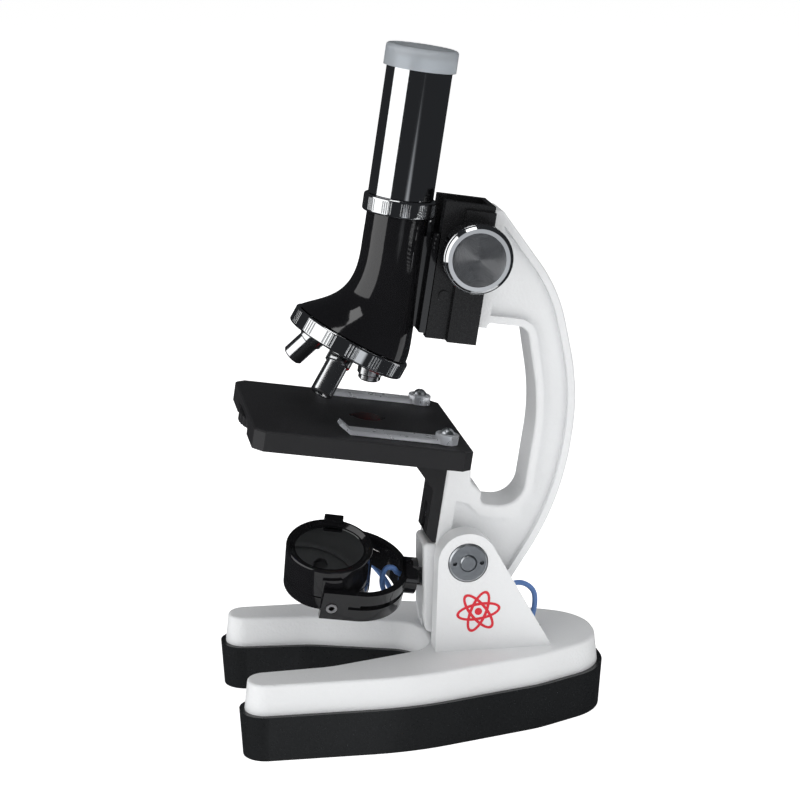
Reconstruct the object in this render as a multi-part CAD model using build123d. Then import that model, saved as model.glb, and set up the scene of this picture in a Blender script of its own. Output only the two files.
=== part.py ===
"""A child's compound microscope: tilting C-shaped arm on a horseshoe base, in millimetres.

World frame: +X to the microscope's left-hand side, -Y towards the toes of the base, +Z up. The
origin is on the table, under the middle of the base. The arm and all that it carries are drawn
upright in the arm's frame, whose origin is the middle of the tilt hinge, and are then leaned back.
"""

import os
from math import asin, atan2, cos, degrees, hypot, pi, radians, sin, sqrt, tan

from build123d import *

# ---- fits ----
RUN = 0.05  # radial running clearance of a shaft, pin or sleeve
GAP = 0.3  # open gap between faces that move past each other
SEAT = 0.02  # clearance of pieces that stay seated in each other

# ---- base ----
BASE_LENGTH = 126.5
BASE_WIDTH = 82.0
BASE_TOP = 25.1
BOOT_HEIGHT = 15.2
BOOT_WALL = 1.7
BOOT_FLOOR = 2.2
BOOT_DRAFT = 1.0
CASTING_WALL = 2.6
CASTING_DECK = 2.8
CASTING_DRAFT = 1.1
CASTING_SKIRT = 4.0
LEG_TIP_WIDTH = 14.2
THROAT_SETBACK = 11.7
THROAT_HALF = 11.7
EDGE_ROUND = 1.0
BASE_SCREW_RADIUS = 1.4
BASE_SCREW_HEAD = 2.7
BASE_SCREW_LENGTH = 9.0
SCREW_BOSS_WALL = 1.9

# ---- battery bay ----
CELL_RADIUS = 5.2
CELL_LENGTH = 44.5
CELL_GAP = 0.6
CELL_REST = 2.6
SPRING_ROOM = 4.0
BAY_WALL = 1.3
DOOR_THICKNESS = 1.6
DOOR_LEDGE = 1.2
DOOR_GAP = 0.2

# ---- tilt hinge ----
HINGE_BACK = 14.05
HINGE_HEIGHT = 55.4
TILT = 8.6
EAR_PLAY = 0.1
EAR_THICKNESS = 8.3
EAR_RADIUS = 9.9
EAR_FRONT = 10.8
EAR_FOOT_BACK = 29.0
PIN_RADIUS = 2.9
NUT_RADIUS = 6.4
NUT_THICKNESS = 2.5
NUT_PROUD = 0.5
SPANNER_RADIUS = 0.75
SPANNER_PITCH = 4.5
WASHER_THICKNESS = 0.5
WASHER_RADIUS = 7.2

# ---- arm ----
ARM_WIDTH = 16.4
ARM_WEB = 11.2
ARM_RIM = 2.6
ARM_ROUND = 1.0
PAD_THICKNESS = 3.6
PAD_TOP = 115.2
PAD_BOTTOM = 76.6
TAIL_RADIUS = 29.4
TAIL_FRONT = 13.2
CHEEK = 2.8
RECESS_INSET = 4.5
HINGE_BOSS = 8.6
TAIL_SLOT_TOP = -11.4

# ---- stage ----
STAGE_WIDTH = 67.4
STAGE_LENGTH = 70.5
STAGE_TOP = 41.4
STAGE_THICKNESS = 6.5
STAGE_PLATE = 2.6
STAGE_SKIRT = 1.8
STAGE_BACK = -7.4
STAGE_CHAMFER = 3.2
LIGHT_HOLE = 5.2
BRACKET_WIDTH = 15.0
BRACKET_THICKNESS = 3.6
BRACKET_BOTTOM = 3.0
SLOT_WIDTH = 4.6
SLOT_LENGTH = 8.8
STAGE_SCREW_RADIUS = 1.3

# ---- filter wheel ----
WHEEL_RADIUS = 24.4
WHEEL_PITCH = 17.6
WHEEL_THICKNESS = 1.8
WHEEL_RIM = 2.9
WHEEL_FLUTES = 54
WINDOW_RADIUS = 5.0
FILTER_THICKNESS = 0.8
RIVET_RADIUS = 1.6

# ---- stage clips ----
CLIP_SPREAD = 25.6
CLIP_BACK = -15.6
CLIP_BOSS_RADIUS = 3.8
CLIP_BOSS_HEIGHT = 3.2
CLIP_WIDTH = 5.4
CLIP_PLATE = 1.5
CLIP_REACH = 31.5
CLIP_LIFT = 0.35
CLIP_SCREW_RADIUS = 1.2

# ---- optical head ----
TUBE_AXIS = -37.2
BARREL_RADIUS = 10.1
BARREL_TOP = 110.4
RING_RADIUS = 11.8
RING_BOTTOM = 109.2
RING_HEIGHT = 5.6
INNER_TUBE_RADIUS = 9.3
INNER_TUBE_TOP = 150.0
TUBE_RADIUS = 10.6
TUBE_WALL = 1.1
TUBE_TOP = 160.0
CAP_RADIUS = 11.7
CAP_HEIGHT = 7.0
CAP_WALL = 1.1
CAP_BOTTOM = 156.0
EYEPIECE_DEPTH = 14.0
EYE_LENS_RADIUS = 4.2

# ---- focusing slide ----
HOUSING_BACK = -7.6
HOUSING_FRONT = -24.0
HOUSING_HALF = 9.0
HOUSING_BOTTOM = 71.6
HOUSING_TOP = 116.4
BOX_HALF = 11.2
BOX_FRONT = -17.2
BOX_TOP = 114.6
FLANGE_THICKNESS = 2.0
FLANGE_HALF = 8.8
SLIDE_BOTTOM = 73.0
SLIDE_TOP = 105.6
NECK_HALF = 4.2
TONGUE_HALF = 6.0
LIP = 2.8
KNOB_Y = -13.3
KNOB_Z = 100.8
GEAR_MODULE = 0.7
PINION_TEETH = 12
PRESSURE_ANGLE = 25.0
ADDENDUM = 0.8
DEDENDUM = 1.0
BACKLASH = 0.16
GEAR_WIDTH = 5.0
SHAFT_RADIUS = 2.0
KNOB_RADIUS = 11.3
KNOB_DEPTH = 8.0
KNOB_FACE = 22.0
KNOB_FLUTES = 48

# ---- turret ----
TURRET_TILT = 20.8
TURRET_RADIUS = 20.4
TURRET_Y = -48.0
TURRET_Z = 63.1
TURRET_HEIGHT = 5.6
TURRET_TURN = -17.6
TURRET_WEB = 2.2
TURRET_GAP = 0.35
OBJECTIVE_RADIUS = 3.7
COLLAR_RADIUS = 4.3
COLLAR_HEIGHT = 2.6
OBJECTIVES = {"low": 6.2, "high": 15.2, "mid": 12.4}
AXLE_RADIUS = 1.8

# ---- lamp ----
STUB_DROP = -11.4
YOKE_SWIVEL = 20.5
HUB_RADIUS = 6.1
HUB_BACK = -13.3
FORK_BACK = -16.2
NECK_RADIUS = 3.1
LEAD_RADIUS = 0.9
FORK_GAP = 0.4
FORK_BAND = 2.3
FORK_LOW = -7.2
FORK_HIGH = 3.4
PIVOT_REACH = -42.6
PIVOT_DROP = -2.6
PIVOT_RADIUS = 1.8
LAMP_TURN = 6.5
DRUM_RADIUS = 14.4
DRUM_RISE = 9.6
DRUM_FALL = 5.2
DRUM_WALL = 1.4
BEZEL_HEIGHT = 2.6
LUG_PROUD = 0.8
TAB_TURN = 10.0
MIRROR_RADIUS = 12.0

# Points that the lamp's lead passes, from the right-hand pivot to the stub, in the yoke's frame.
FRONT_ROUTE = [
    (-13.2, -42.6, -2.6),
    (-20.0, -42.6, -2.6),
    (-20.8, -38.0, -3.4),
    (-19.8, -31.4, -5.6),
    (-16.8, -25.4, -8.8),
    (-11.8, -20.8, -10.8),
    (-6.0, -18.4, -11.6),
    (-0.6, -18.6, -11.2),
    (2.6, -19.4, -9.2),
    (2.6, -22.4, -6.6),
    (1.8, -24.2, -3.2),
    (0.8, -24.4, 0.4),
    (0.4, -23.4, 3.0),
    (0.2, -20.6, 2.6),
    (0.0, -19.6, 0.3),
    (0.0, -14.2, -0.15),
    (0.0, -8.0, 0.0),
]
# Points that it passes from the stub to the base, in the world's frame, from the hinge's foot.
REAR_ROUTE = [
    (0.0, -9.6, 45.33),
    (0.0, 0.2, 43.85),
    (0.0, 6.2, 40.9),
    (0.0, 11.4, 39.6),
    (0.0, 16.6, 40.9),
    (0.0, 21.6, 42.2),
    (0.0, 26.2, 39.0),
    (0.0, 26.6, 33.8),
    (0.0, 25.4, 28.6),
    (0.0, 25.4, 21.5),
]

# ---- worked-out places ----
STANDING = (Align.CENTER, Align.CENTER, Align.MIN)
TOE = -BASE_LENGTH / 2
HEEL = BASE_LENGTH / 2
ARM_HALF = ARM_WIDTH / 2
EAR_INNER = ARM_HALF + WASHER_THICKNESS + EAR_PLAY
EAR_OUTER = EAR_INNER + EAR_THICKNESS
FORK_HALF = DRUM_RADIUS + LUG_PROUD + FORK_GAP + FORK_BAND
STAGE_BOTTOM = STAGE_TOP - STAGE_THICKNESS
STAGE_FRONT = STAGE_BACK - STAGE_LENGTH
BLOCK_FRONT = -9.7
BRACKET_FRONT = BLOCK_FRONT - BRACKET_THICKNESS
WHEEL_Y = TUBE_AXIS - WHEEL_PITCH
WHEEL_TOP = STAGE_TOP - STAGE_PLATE - GAP
PITCH_RADIUS = GEAR_MODULE * PINION_TEETH / 2
RACK_PITCH_Y = KNOB_Y - PITCH_RADIUS
OBJECTIVE_PITCH = (TUBE_AXIS - TURRET_Y) / cos(radians(TURRET_TILT))
TURRET_TOP = TURRET_HEIGHT

ARM_POSE = Pos(0, HINGE_BACK, HINGE_HEIGHT) * Rot(-TILT, 0, 0)
TURRET_POSE = ARM_POSE * Pos(0, TURRET_Y, TURRET_Z) * Rot(-TURRET_TILT, 0, 0)
YOKE_POSE = ARM_POSE * Pos(0, 0, STUB_DROP) * Rot(0, YOKE_SWIVEL, 0)
LAMP_POSE = YOKE_POSE * Pos(0, PIVOT_REACH, PIVOT_DROP) * Rot(LAMP_TURN, 0, 0)


def block(x, y, z):
    """A box between two values on each axis."""
    size = (x[1] - x[0], y[1] - y[0], z[1] - z[0])
    return Pos((x[0] + x[1]) / 2, (y[0] + y[1]) / 2, (z[0] + z[1]) / 2) * Box(*size)


def rod_x(radius, x0, x1, y=0, z=0):
    """A round bar along X."""
    return Pos((x0 + x1) / 2, y, z) * Rot(0, 90, 0) * Cylinder(radius, abs(x1 - x0))


def rod_y(radius, y0, y1, x=0, z=0):
    """A round bar along Y."""
    return Pos(x, (y0 + y1) / 2, z) * Rot(90, 0, 0) * Cylinder(radius, abs(y1 - y0))


def rod_z(radius, z0, z1, x=0, y=0):
    """A round bar along Z."""
    return Pos(x, y, (z0 + z1) / 2) * Cylinder(radius, abs(z1 - z0))


def ring_z(outer, inner, z0, z1, x=0, y=0):
    """A round sleeve along Z."""
    return rod_z(outer, z0, z1, x, y) - rod_z(inner, z0 - 1, z1 + 1, x, y)


def side_plate(outline, x0, x1):
    """An outline drawn in (Y, Z), as a plate from x0 to x1."""
    return Pos(x0, 0, 0) * extrude(Plane.YZ * outline, x1 - x0, dir=(1, 0, 0))


def mirrored(shape):
    """The same shape on the other side of the middle plane."""
    return mirror(shape, Plane.YZ)


def pan_head(radius, height, slot=0.5):
    """A cross-head screw's domed head, standing on z = 0."""
    dome_radius = (radius**2 + height**2) / (2 * height)
    dome = Pos(0, 0, height - dome_radius) * Sphere(dome_radius)
    head = dome & rod_z(radius, 0, height + 1)
    for turn in (0, 90):
        head -= Pos(0, 0, height) * Rot(0, 0, turn) * Box(radius * 1.1, slot, height * 0.9)
    return head


def cord_tube(points, label):
    """A round cord through the points: straight runs joined by arcs as large as the runs allow."""
    radii = []
    for before, here, after in zip(points, points[1:], points[2:]):
        into = Vector(*here) - Vector(*before)
        out = Vector(*after) - Vector(*here)
        half_turn = radians(into.get_angle(out)) / 2
        radii.append(0.45 * min(into.length, out.length) / tan(half_turn))
    print(label, "radii", [round(radius, 1) for radius in radii])
    path = FilletPolyline(*points, radius=radii)
    start = Vector(*points[1]) - Vector(*points[0])
    tube = sweep(Plane(points[0], z_dir=start) * Circle(LEAD_RADIUS), path)
    expected = pi * LEAD_RADIUS**2 * path.length
    print(label, "length", round(path.length, 1), "volume ratio", round(tube.volume / expected, 4))
    return tube


# ---------------------------------------------------------------- base


def base_corners():
    """Corners of one side of the horseshoe at the casting's foot, each with its rounding."""
    half = BASE_WIDTH / 2 - BOOT_WALL
    front = TOE + BOOT_WALL
    back = HEEL - BOOT_WALL
    tip = LEG_TIP_WIDTH
    throat = HINGE_BACK - THROAT_SETBACK
    return [
        (THROAT_HALF, throat, 1.02 * THROAT_HALF),
        (half - tip - 2.0, -0.26 * BASE_LENGTH, 30.0),
        (half - tip, front, 0.48 * tip),
        (half, front, 0.48 * tip),
        (half, -0.065 * BASE_LENGTH, 90.0),
        (0.67 * half, 0.285 * BASE_LENGTH, 40.0),
        (0.34 * half, back, 0.5 * half),
    ]


def rounded_outline(corners):
    """A face on corners given as (across, up, rounding radius); a radius of 0 stays sharp."""
    face = Face(Wire.make_polygon([(across, up) for across, up, _ in corners]))
    for across, up, radius in corners:
        if radius:
            corner = face.vertices().sort_by_distance((across, up, 0))[0]
            face = face.fillet_2d(radius, [corner])
    return face


def grown_corners(corners, grow):
    """Corners of an anticlockwise outline whose sides and roundings all lie further out by an amount."""
    grown = []
    for index, (across, up, radius) in enumerate(corners):
        here = Vector(across, up)
        arriving = (here - Vector(*corners[index - 1][:2])).normalized()
        leaving = (Vector(*corners[(index + 1) % len(corners)][:2]) - here).normalized()
        outward = Vector(arriving.Y + leaving.Y, -arriving.X - leaving.X)
        moved = here + outward * (grow / (1 + arriving.dot(leaving)))
        turns_left = arriving.X * leaving.Y > arriving.Y * leaving.X
        grown.append((moved.X, moved.Y, radius + grow if turns_left else radius - grow))
    return grown


def base_outline(grow=0.0):
    """The horseshoe seen from above, at the casting's foot, grown outwards by an amount."""
    right = base_corners()
    left = [(-x, y, radius) for x, y, radius in reversed(right)]
    return rounded_outline(grown_corners(right + left, grow))


def drafted(lower, upper, z0, z1):
    """A solid that runs straight from one outline at z0 to another at z1."""
    return loft([Pos(0, 0, z0) * lower, Pos(0, 0, z1) * upper], ruled=True)


def screw_places():
    """Where the base's four screws stand."""
    half = BASE_WIDTH / 2
    toe_x = half - BOOT_WALL - LEG_TIP_WIDTH / 2
    toe_y = TOE + BOOT_WALL + LEG_TIP_WIDTH
    heel_x = 0.53 * half
    heel_y = HINGE_BACK + 6
    return [(sign * x, y) for x, y in ((toe_x, toe_y), (heel_x, heel_y)) for sign in (1, -1)]


def ear_outline():
    """One ear of the base, seen from the side."""
    back = (HINGE_BACK + EAR_FOOT_BACK, BASE_TOP - 1)
    hinge = Vector(HINGE_BACK, HINGE_HEIGHT)
    reach = hinge - Vector(*back)
    distance = reach.length
    turn = atan2(reach.Y, reach.X) - asin(EAR_RADIUS / distance)
    along = sqrt(distance**2 - EAR_RADIUS**2)
    touch = (back[0] + along * cos(turn), back[1] + along * sin(turn))
    front_x = HINGE_BACK - EAR_RADIUS
    foot = (HINGE_BACK - EAR_FRONT, BASE_TOP - 1)
    crown = ThreePointArc(touch, (HINGE_BACK, HINGE_HEIGHT + EAR_RADIUS), (front_x, HINGE_HEIGHT))
    edges = [crown, Line((front_x, HINGE_HEIGHT), foot), Line(foot, back), Line(back, touch)]
    return make_face(Curve() + edges)


def base_casting():
    """White top of the base: a hollow horseshoe with two ears that carry the hinge."""
    foot = BOOT_HEIGHT - CASTING_SKIRT
    body = drafted(base_outline(), base_outline(-CASTING_DRAFT), BOOT_HEIGHT, BASE_TOP)
    edge = body.faces().sort_by(Axis.Z)[-1].edges()
    body = fillet(edge, EDGE_ROUND)
    skirt = extrude(Pos(0, 0, foot) * base_outline(-GAP), BOOT_HEIGHT - foot + 1)
    body += skirt
    hollow = base_outline(-CASTING_WALL - CASTING_DRAFT)
    body -= extrude(Pos(0, 0, foot - 1) * hollow, BASE_TOP - CASTING_DECK - foot + 1)
    for x, y in screw_places():
        body += rod_z(BASE_SCREW_RADIUS + SCREW_BOSS_WALL, foot, BASE_TOP - 1, x, y)
        body -= rod_z(BASE_SCREW_RADIUS + SEAT, foot - 1, foot + BASE_SCREW_LENGTH, x, y)
    ear = side_plate(ear_outline(), EAR_INNER, EAR_OUTER)
    ear -= rod_x(PIN_RADIUS + SEAT, 0, EAR_OUTER + 1, HINGE_BACK, HINGE_HEIGHT)
    sink = EAR_OUTER - NUT_THICKNESS + NUT_PROUD
    ear -= rod_x(NUT_RADIUS + GAP, sink, EAR_OUTER + 1, HINGE_BACK, HINGE_HEIGHT)
    body += ear
    body += mirrored(ear)
    hole_y = HINGE_BACK + REAR_ROUTE[-1][1]
    return body - rod_z(LEAD_RADIUS + 1.2 + SEAT, BASE_TOP - CASTING_DECK - 1, BASE_TOP + 1, 0, hole_y)


def bay_edges():
    """The battery bay's inside, as ((x0, x1), (y0, y1))."""
    half = 2 * CELL_RADIUS + CELL_GAP
    front = HINGE_BACK - THROAT_SETBACK + 3.5 + BAY_WALL
    return (-half, half), (front, front + CELL_LENGTH + SPRING_ROOM)


def base_boot():
    """Black lower tray of the base, with the battery bay and the screws' wells."""
    upper = base_outline(BOOT_WALL)
    lower = base_outline(BOOT_WALL - BOOT_DRAFT)
    body = drafted(lower, upper, 0, BOOT_HEIGHT)
    inside = base_outline(0)
    body -= extrude(Pos(0, 0, BOOT_FLOOR) * base_outline(-BOOT_DRAFT), BOOT_HEIGHT)
    body -= extrude(Pos(0, 0, BOOT_HEIGHT - CASTING_SKIRT - GAP) * inside, BOOT_HEIGHT)
    (x0, x1), (y0, y1) = bay_edges()
    wall_top = BOOT_HEIGHT - CASTING_SKIRT - GAP
    walls = block((x0 - BAY_WALL, x1 + BAY_WALL), (y0 - BAY_WALL, y1 + BAY_WALL), (0, wall_top))
    body += walls
    body -= block((x0, x1), (y0, y1), (BOOT_FLOOR, wall_top + 1))
    body -= door_blank(DOOR_GAP)
    body -= block((x0, x1), (y0, y1), (-1, BOOT_FLOOR + 1))
    for x, y in screw_places():
        body += rod_z(BASE_SCREW_HEAD + 1.2, 0, wall_top, x, y)
        body -= rod_z(BASE_SCREW_HEAD + GAP, -1, wall_top - 3, x, y)
        body -= rod_z(BASE_SCREW_RADIUS + SEAT, -1, wall_top + 1, x, y)
    (sx, sy) = door_screw_place()
    body -= rod_z(BASE_SCREW_RADIUS + SEAT, -1, BOOT_FLOOR + 3, sx, sy)
    return body


def door_screw_place():
    """Where the battery door's screw stands."""
    _, (_, y1) = bay_edges()
    return 0, y1 + BAY_WALL + 0.2


def door_blank(grow=0.0):
    """The battery door's plate, grown by an amount for its recess."""
    (x0, x1), (y0, y1) = bay_edges()
    edge = DOOR_LEDGE + grow
    plate = block((x0 - edge, x1 + edge), (y0 - edge, y1 + edge), (-1 if grow else 0, DOOR_THICKNESS))
    sx, sy = door_screw_place()
    lug = rod_z(BASE_SCREW_HEAD + 1.0 + grow, -1 if grow else 0, DOOR_THICKNESS, sx, sy)
    return plate + lug


def battery_door():
    """Cover under the cells, held by one screw."""
    door = door_blank()
    sx, sy = door_screw_place()
    door -= rod_z(BASE_SCREW_RADIUS + SEAT, -1, DOOR_THICKNESS + 1, sx, sy)
    door -= rod_z(BASE_SCREW_HEAD - 0.4 + GAP, -1, DOOR_THICKNESS - 0.6, sx, sy)
    _, (y0, _) = bay_edges()
    for step in range(5):
        door -= block((-5, 5), (y0 + 3 + 2 * step, y0 + 4 + 2 * step), (-1, 0.4))
    return door


def base_screws():
    """Four screws that hold the boot to the casting."""
    foot = BOOT_HEIGHT - CASTING_SKIRT
    head_z = foot - GAP - 3
    screws = []
    for x, y in screw_places():
        shank = rod_z(BASE_SCREW_RADIUS, head_z, foot + BASE_SCREW_LENGTH - 1, x, y)
        screws.append(shank + Pos(x, y, head_z) * Rot(180, 0, 0) * pan_head(BASE_SCREW_HEAD, 1.6))
    return Compound(children=screws)


def battery_door_screw():
    """The screw of the battery door."""
    x, y = door_screw_place()
    shank = rod_z(BASE_SCREW_RADIUS, DOOR_THICKNESS - 0.6, BOOT_FLOOR + 2.6, x, y)
    return shank + Pos(x, y, DOOR_THICKNESS - 0.6) * Rot(180, 0, 0) * pan_head(BASE_SCREW_HEAD - 0.4, 0.9)


def battery_cells():
    """Two cells side by side, with their positive pips."""
    _, (y0, _) = bay_edges()
    z = CELL_REST + CELL_RADIUS
    start = y0 + SPRING_ROOM - 0.8
    cells = []
    for sign in (1, -1):
        x = sign * (CELL_RADIUS + CELL_GAP / 2)
        can = rod_y(CELL_RADIUS, start, start + CELL_LENGTH - 1.2, x, z)
        end = start + CELL_LENGTH - 1.2 if sign > 0 else start
        cells.append(can + rod_y(1.8, end, end + sign * 0.8, x, z))
    return Compound(children=cells)


def battery_contacts():
    """Spring contacts at one end of the bay and flat ones at the other."""
    (x0, x1), (y0, y1) = bay_edges()
    z = CELL_REST + CELL_RADIUS
    plates = []
    for y in (y0 + 0.05, y1 - 0.45):
        for sign in (1, -1):
            middle = sign * (CELL_RADIUS + CELL_GAP / 2)
            plates.append(block((middle - 4, middle + 4), (y, y + 0.4), (z - 4, z + 3)))
    spring_x = CELL_RADIUS + CELL_GAP / 2
    cone = Cone(3.0, 2.0, 2.6, align=STANDING)
    cone = Pos(spring_x, y0 + 0.45, z) * Rot(-90, 0, 0) * cone
    plates[0] += cone
    return Compound(children=plates)


def base_grommet():
    """Bush in the deck that the lamp's lead goes down through."""
    y = HINGE_BACK + REAR_ROUTE[-1][1]
    lip = ring_z(LEAD_RADIUS + 2.1, LEAD_RADIUS + SEAT, BASE_TOP, BASE_TOP + 1.0, 0, y)
    return lip + ring_z(LEAD_RADIUS + 1.2, LEAD_RADIUS + SEAT, BASE_TOP - CASTING_DECK, BASE_TOP, 0, y)


def hinge_pin():
    """Bolt through both ears and the arm, with rounded ends."""
    end = EAR_OUTER + NUT_PROUD + 0.3
    pin = rod_x(PIN_RADIUS, -end, end, HINGE_BACK, HINGE_HEIGHT)
    return chamfer(pin.edges().filter_by(GeomType.CIRCLE), 0.6)


def hinge_nuts():
    """Round nuts, one sunk in each ear, with two holes for a pin spanner."""
    inner = EAR_OUTER - NUT_THICKNESS + NUT_PROUD
    outer = EAR_OUTER + NUT_PROUD
    nut = rod_x(NUT_RADIUS, inner, outer, HINGE_BACK, HINGE_HEIGHT)
    rims = nut.edges().filter_by(GeomType.CIRCLE).sort_by(Axis.X)
    nut = chamfer(rims[-1], 0.5)
    nut -= rod_x(PIN_RADIUS + SEAT, inner - 1, outer + 1, HINGE_BACK, HINGE_HEIGHT)
    for sign in (1, -1):
        y = HINGE_BACK + sign * SPANNER_PITCH
        nut -= rod_x(SPANNER_RADIUS, outer - 1.4, outer + 1, y, HINGE_HEIGHT)
    return Compound(children=[nut, mirrored(nut)])


def friction_washers():
    """Thin washers between the arm and the ears that keep the tilt where it is put."""
    middle = (ARM_HALF + EAR_INNER) / 2
    half = WASHER_THICKNESS / 2
    washer = rod_x(WASHER_RADIUS, middle - half, middle + half, HINGE_BACK, HINGE_HEIGHT)
    washer -= rod_x(PIN_RADIUS + SEAT, 0, EAR_OUTER, HINGE_BACK, HINGE_HEIGHT)
    return Compound(children=[washer, mirrored(washer)])


# ---------------------------------------------------------------- arm


def arm_outline():
    """The arm seen from the side: a C that holds the housing above and the stage below."""
    pad_back = HOUSING_BACK + PAD_THICKNESS
    tail_half = 8.2
    tail_foot = -sqrt((TAIL_RADIUS - 0.2) ** 2 - tail_half**2)
    lean = tan(radians(TILT))
    return rounded_outline([
        (HOUSING_BACK, PAD_BOTTOM, 0),
        (HOUSING_BACK, PAD_TOP, 0),
        (HOUSING_BACK + 3.0, PAD_TOP, 1.4),
        (17.7, 92.3, 52.0),
        (30.2, 59.3, 84.0),
        (30.2, 21.4, 92.0),
        (tail_half, tail_foot, 2.5),
        (-tail_half, tail_foot, 2.0),
        (-TAIL_FRONT - 0.5 + lean * 25.0, -22.7, 0),
        (-TAIL_FRONT - 0.5, 2.6, 1.6),
        (BLOCK_FRONT, 2.6, 0),
        (BLOCK_FRONT, STAGE_BOTTOM, 0),
        (-2.6, STAGE_BOTTOM, 0),
        (-1.2, 24.8, 2.0),
        (3.0, 21.8, 1.4),
        (3.0, 18.0, 2.0),
        (17.1, 18.0, 8.3),
        (17.1, 53.3, 70.0),
        (9.3, 78.4, 4.0),
        (pad_back, 78.4, 1.4),
        (pad_back, PAD_BOTTOM, 0),
    ])


def arm_recess():
    """The sunk web between the arm's raised rims, seen from the side."""
    crescent = offset(arm_outline(), -ARM_RIM)
    front = BLOCK_FRONT + RECESS_INSET
    upper_front = HOUSING_BACK + RECESS_INSET - 0.5
    back = HOUSING_BACK + 48
    window = make_face(Polyline(
        (upper_front, PAD_TOP - 3.2),
        (back, PAD_TOP - 3.2),
        (back, TAIL_SLOT_TOP + 2.0),
        (HINGE_BOSS - 1.2, TAIL_SLOT_TOP + 2.0),
        (HINGE_BOSS - 1.2, 0),
        (front, 0),
        (front, 60),
        (upper_front, 60),
        close=True,
    ))
    grip_corner = rounded_outline([
        (front - 1, STAGE_BOTTOM, 0),
        (front - 1, 18.2, 0),
        (-0.9, 17.6, 2.0),
        (3.6, 13.8, 4.0),
        (17.1, 13.8, 4.0),
        (17.1, STAGE_BOTTOM, 0),
    ])
    return crescent & window - grip_corner - Circle(HINGE_BOSS)


def on_arm_side(edge):
    """Whether an edge lies on a side of the arm and is open to view."""
    middle = edge.center()
    seated = abs(middle.Y - HOUSING_BACK) < 0.01 or abs(middle.Z - STAGE_BOTTOM) < 0.01
    return abs(abs(middle.X) - ARM_HALF) < 0.01 and not seated


def arm_casting():
    """White arm: rims round a thinner web, a pad for the housing and a forked tail."""
    body = side_plate(arm_outline(), -ARM_HALF, ARM_HALF)
    body = fillet([edge for edge in body.edges() if on_arm_side(edge)], ARM_ROUND)
    depth = (ARM_WIDTH - ARM_WEB) / 2
    for face in arm_recess().faces():
        pocket = side_plate(face, ARM_HALF - depth, ARM_HALF + 1)
        body -= pocket
        body -= mirrored(pocket)
    inner = ARM_HALF - CHEEK
    body -= block((-inner, inner), (-20, -6.6), (-40, 1.0))
    body -= block((-inner, inner), (-2.4, 5.2), (-40, -6.4))
    body -= block((-inner, inner), (5, 30), (-40, TAIL_SLOT_TOP))
    body -= rod_y(NECK_RADIUS + RUN, -8, 0, 0, STUB_DROP)
    body -= rod_x(PIN_RADIUS + RUN, -ARM_HALF - 1, ARM_HALF + 1)
    screw = rod_y(STAGE_SCREW_RADIUS + SEAT, BLOCK_FRONT - 1, BLOCK_FRONT + 8, 0, slot_middle())
    body -= screw
    for z in pad_screw_heights():
        body -= rod_y(STAGE_SCREW_RADIUS + SEAT, HOUSING_BACK - 1, HOUSING_BACK + 6, 0, z)
    return body


def pad_screw_heights():
    """Heights of the two screws between the housing and the arm's pad."""
    return (PAD_BOTTOM + 11.5, PAD_TOP - 6.5)


def slot_middle():
    """Height of the middle of the stage bracket's slot."""
    return BRACKET_BOTTOM + 2.9 + SLOT_LENGTH / 2


# ---------------------------------------------------------------- stage


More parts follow.
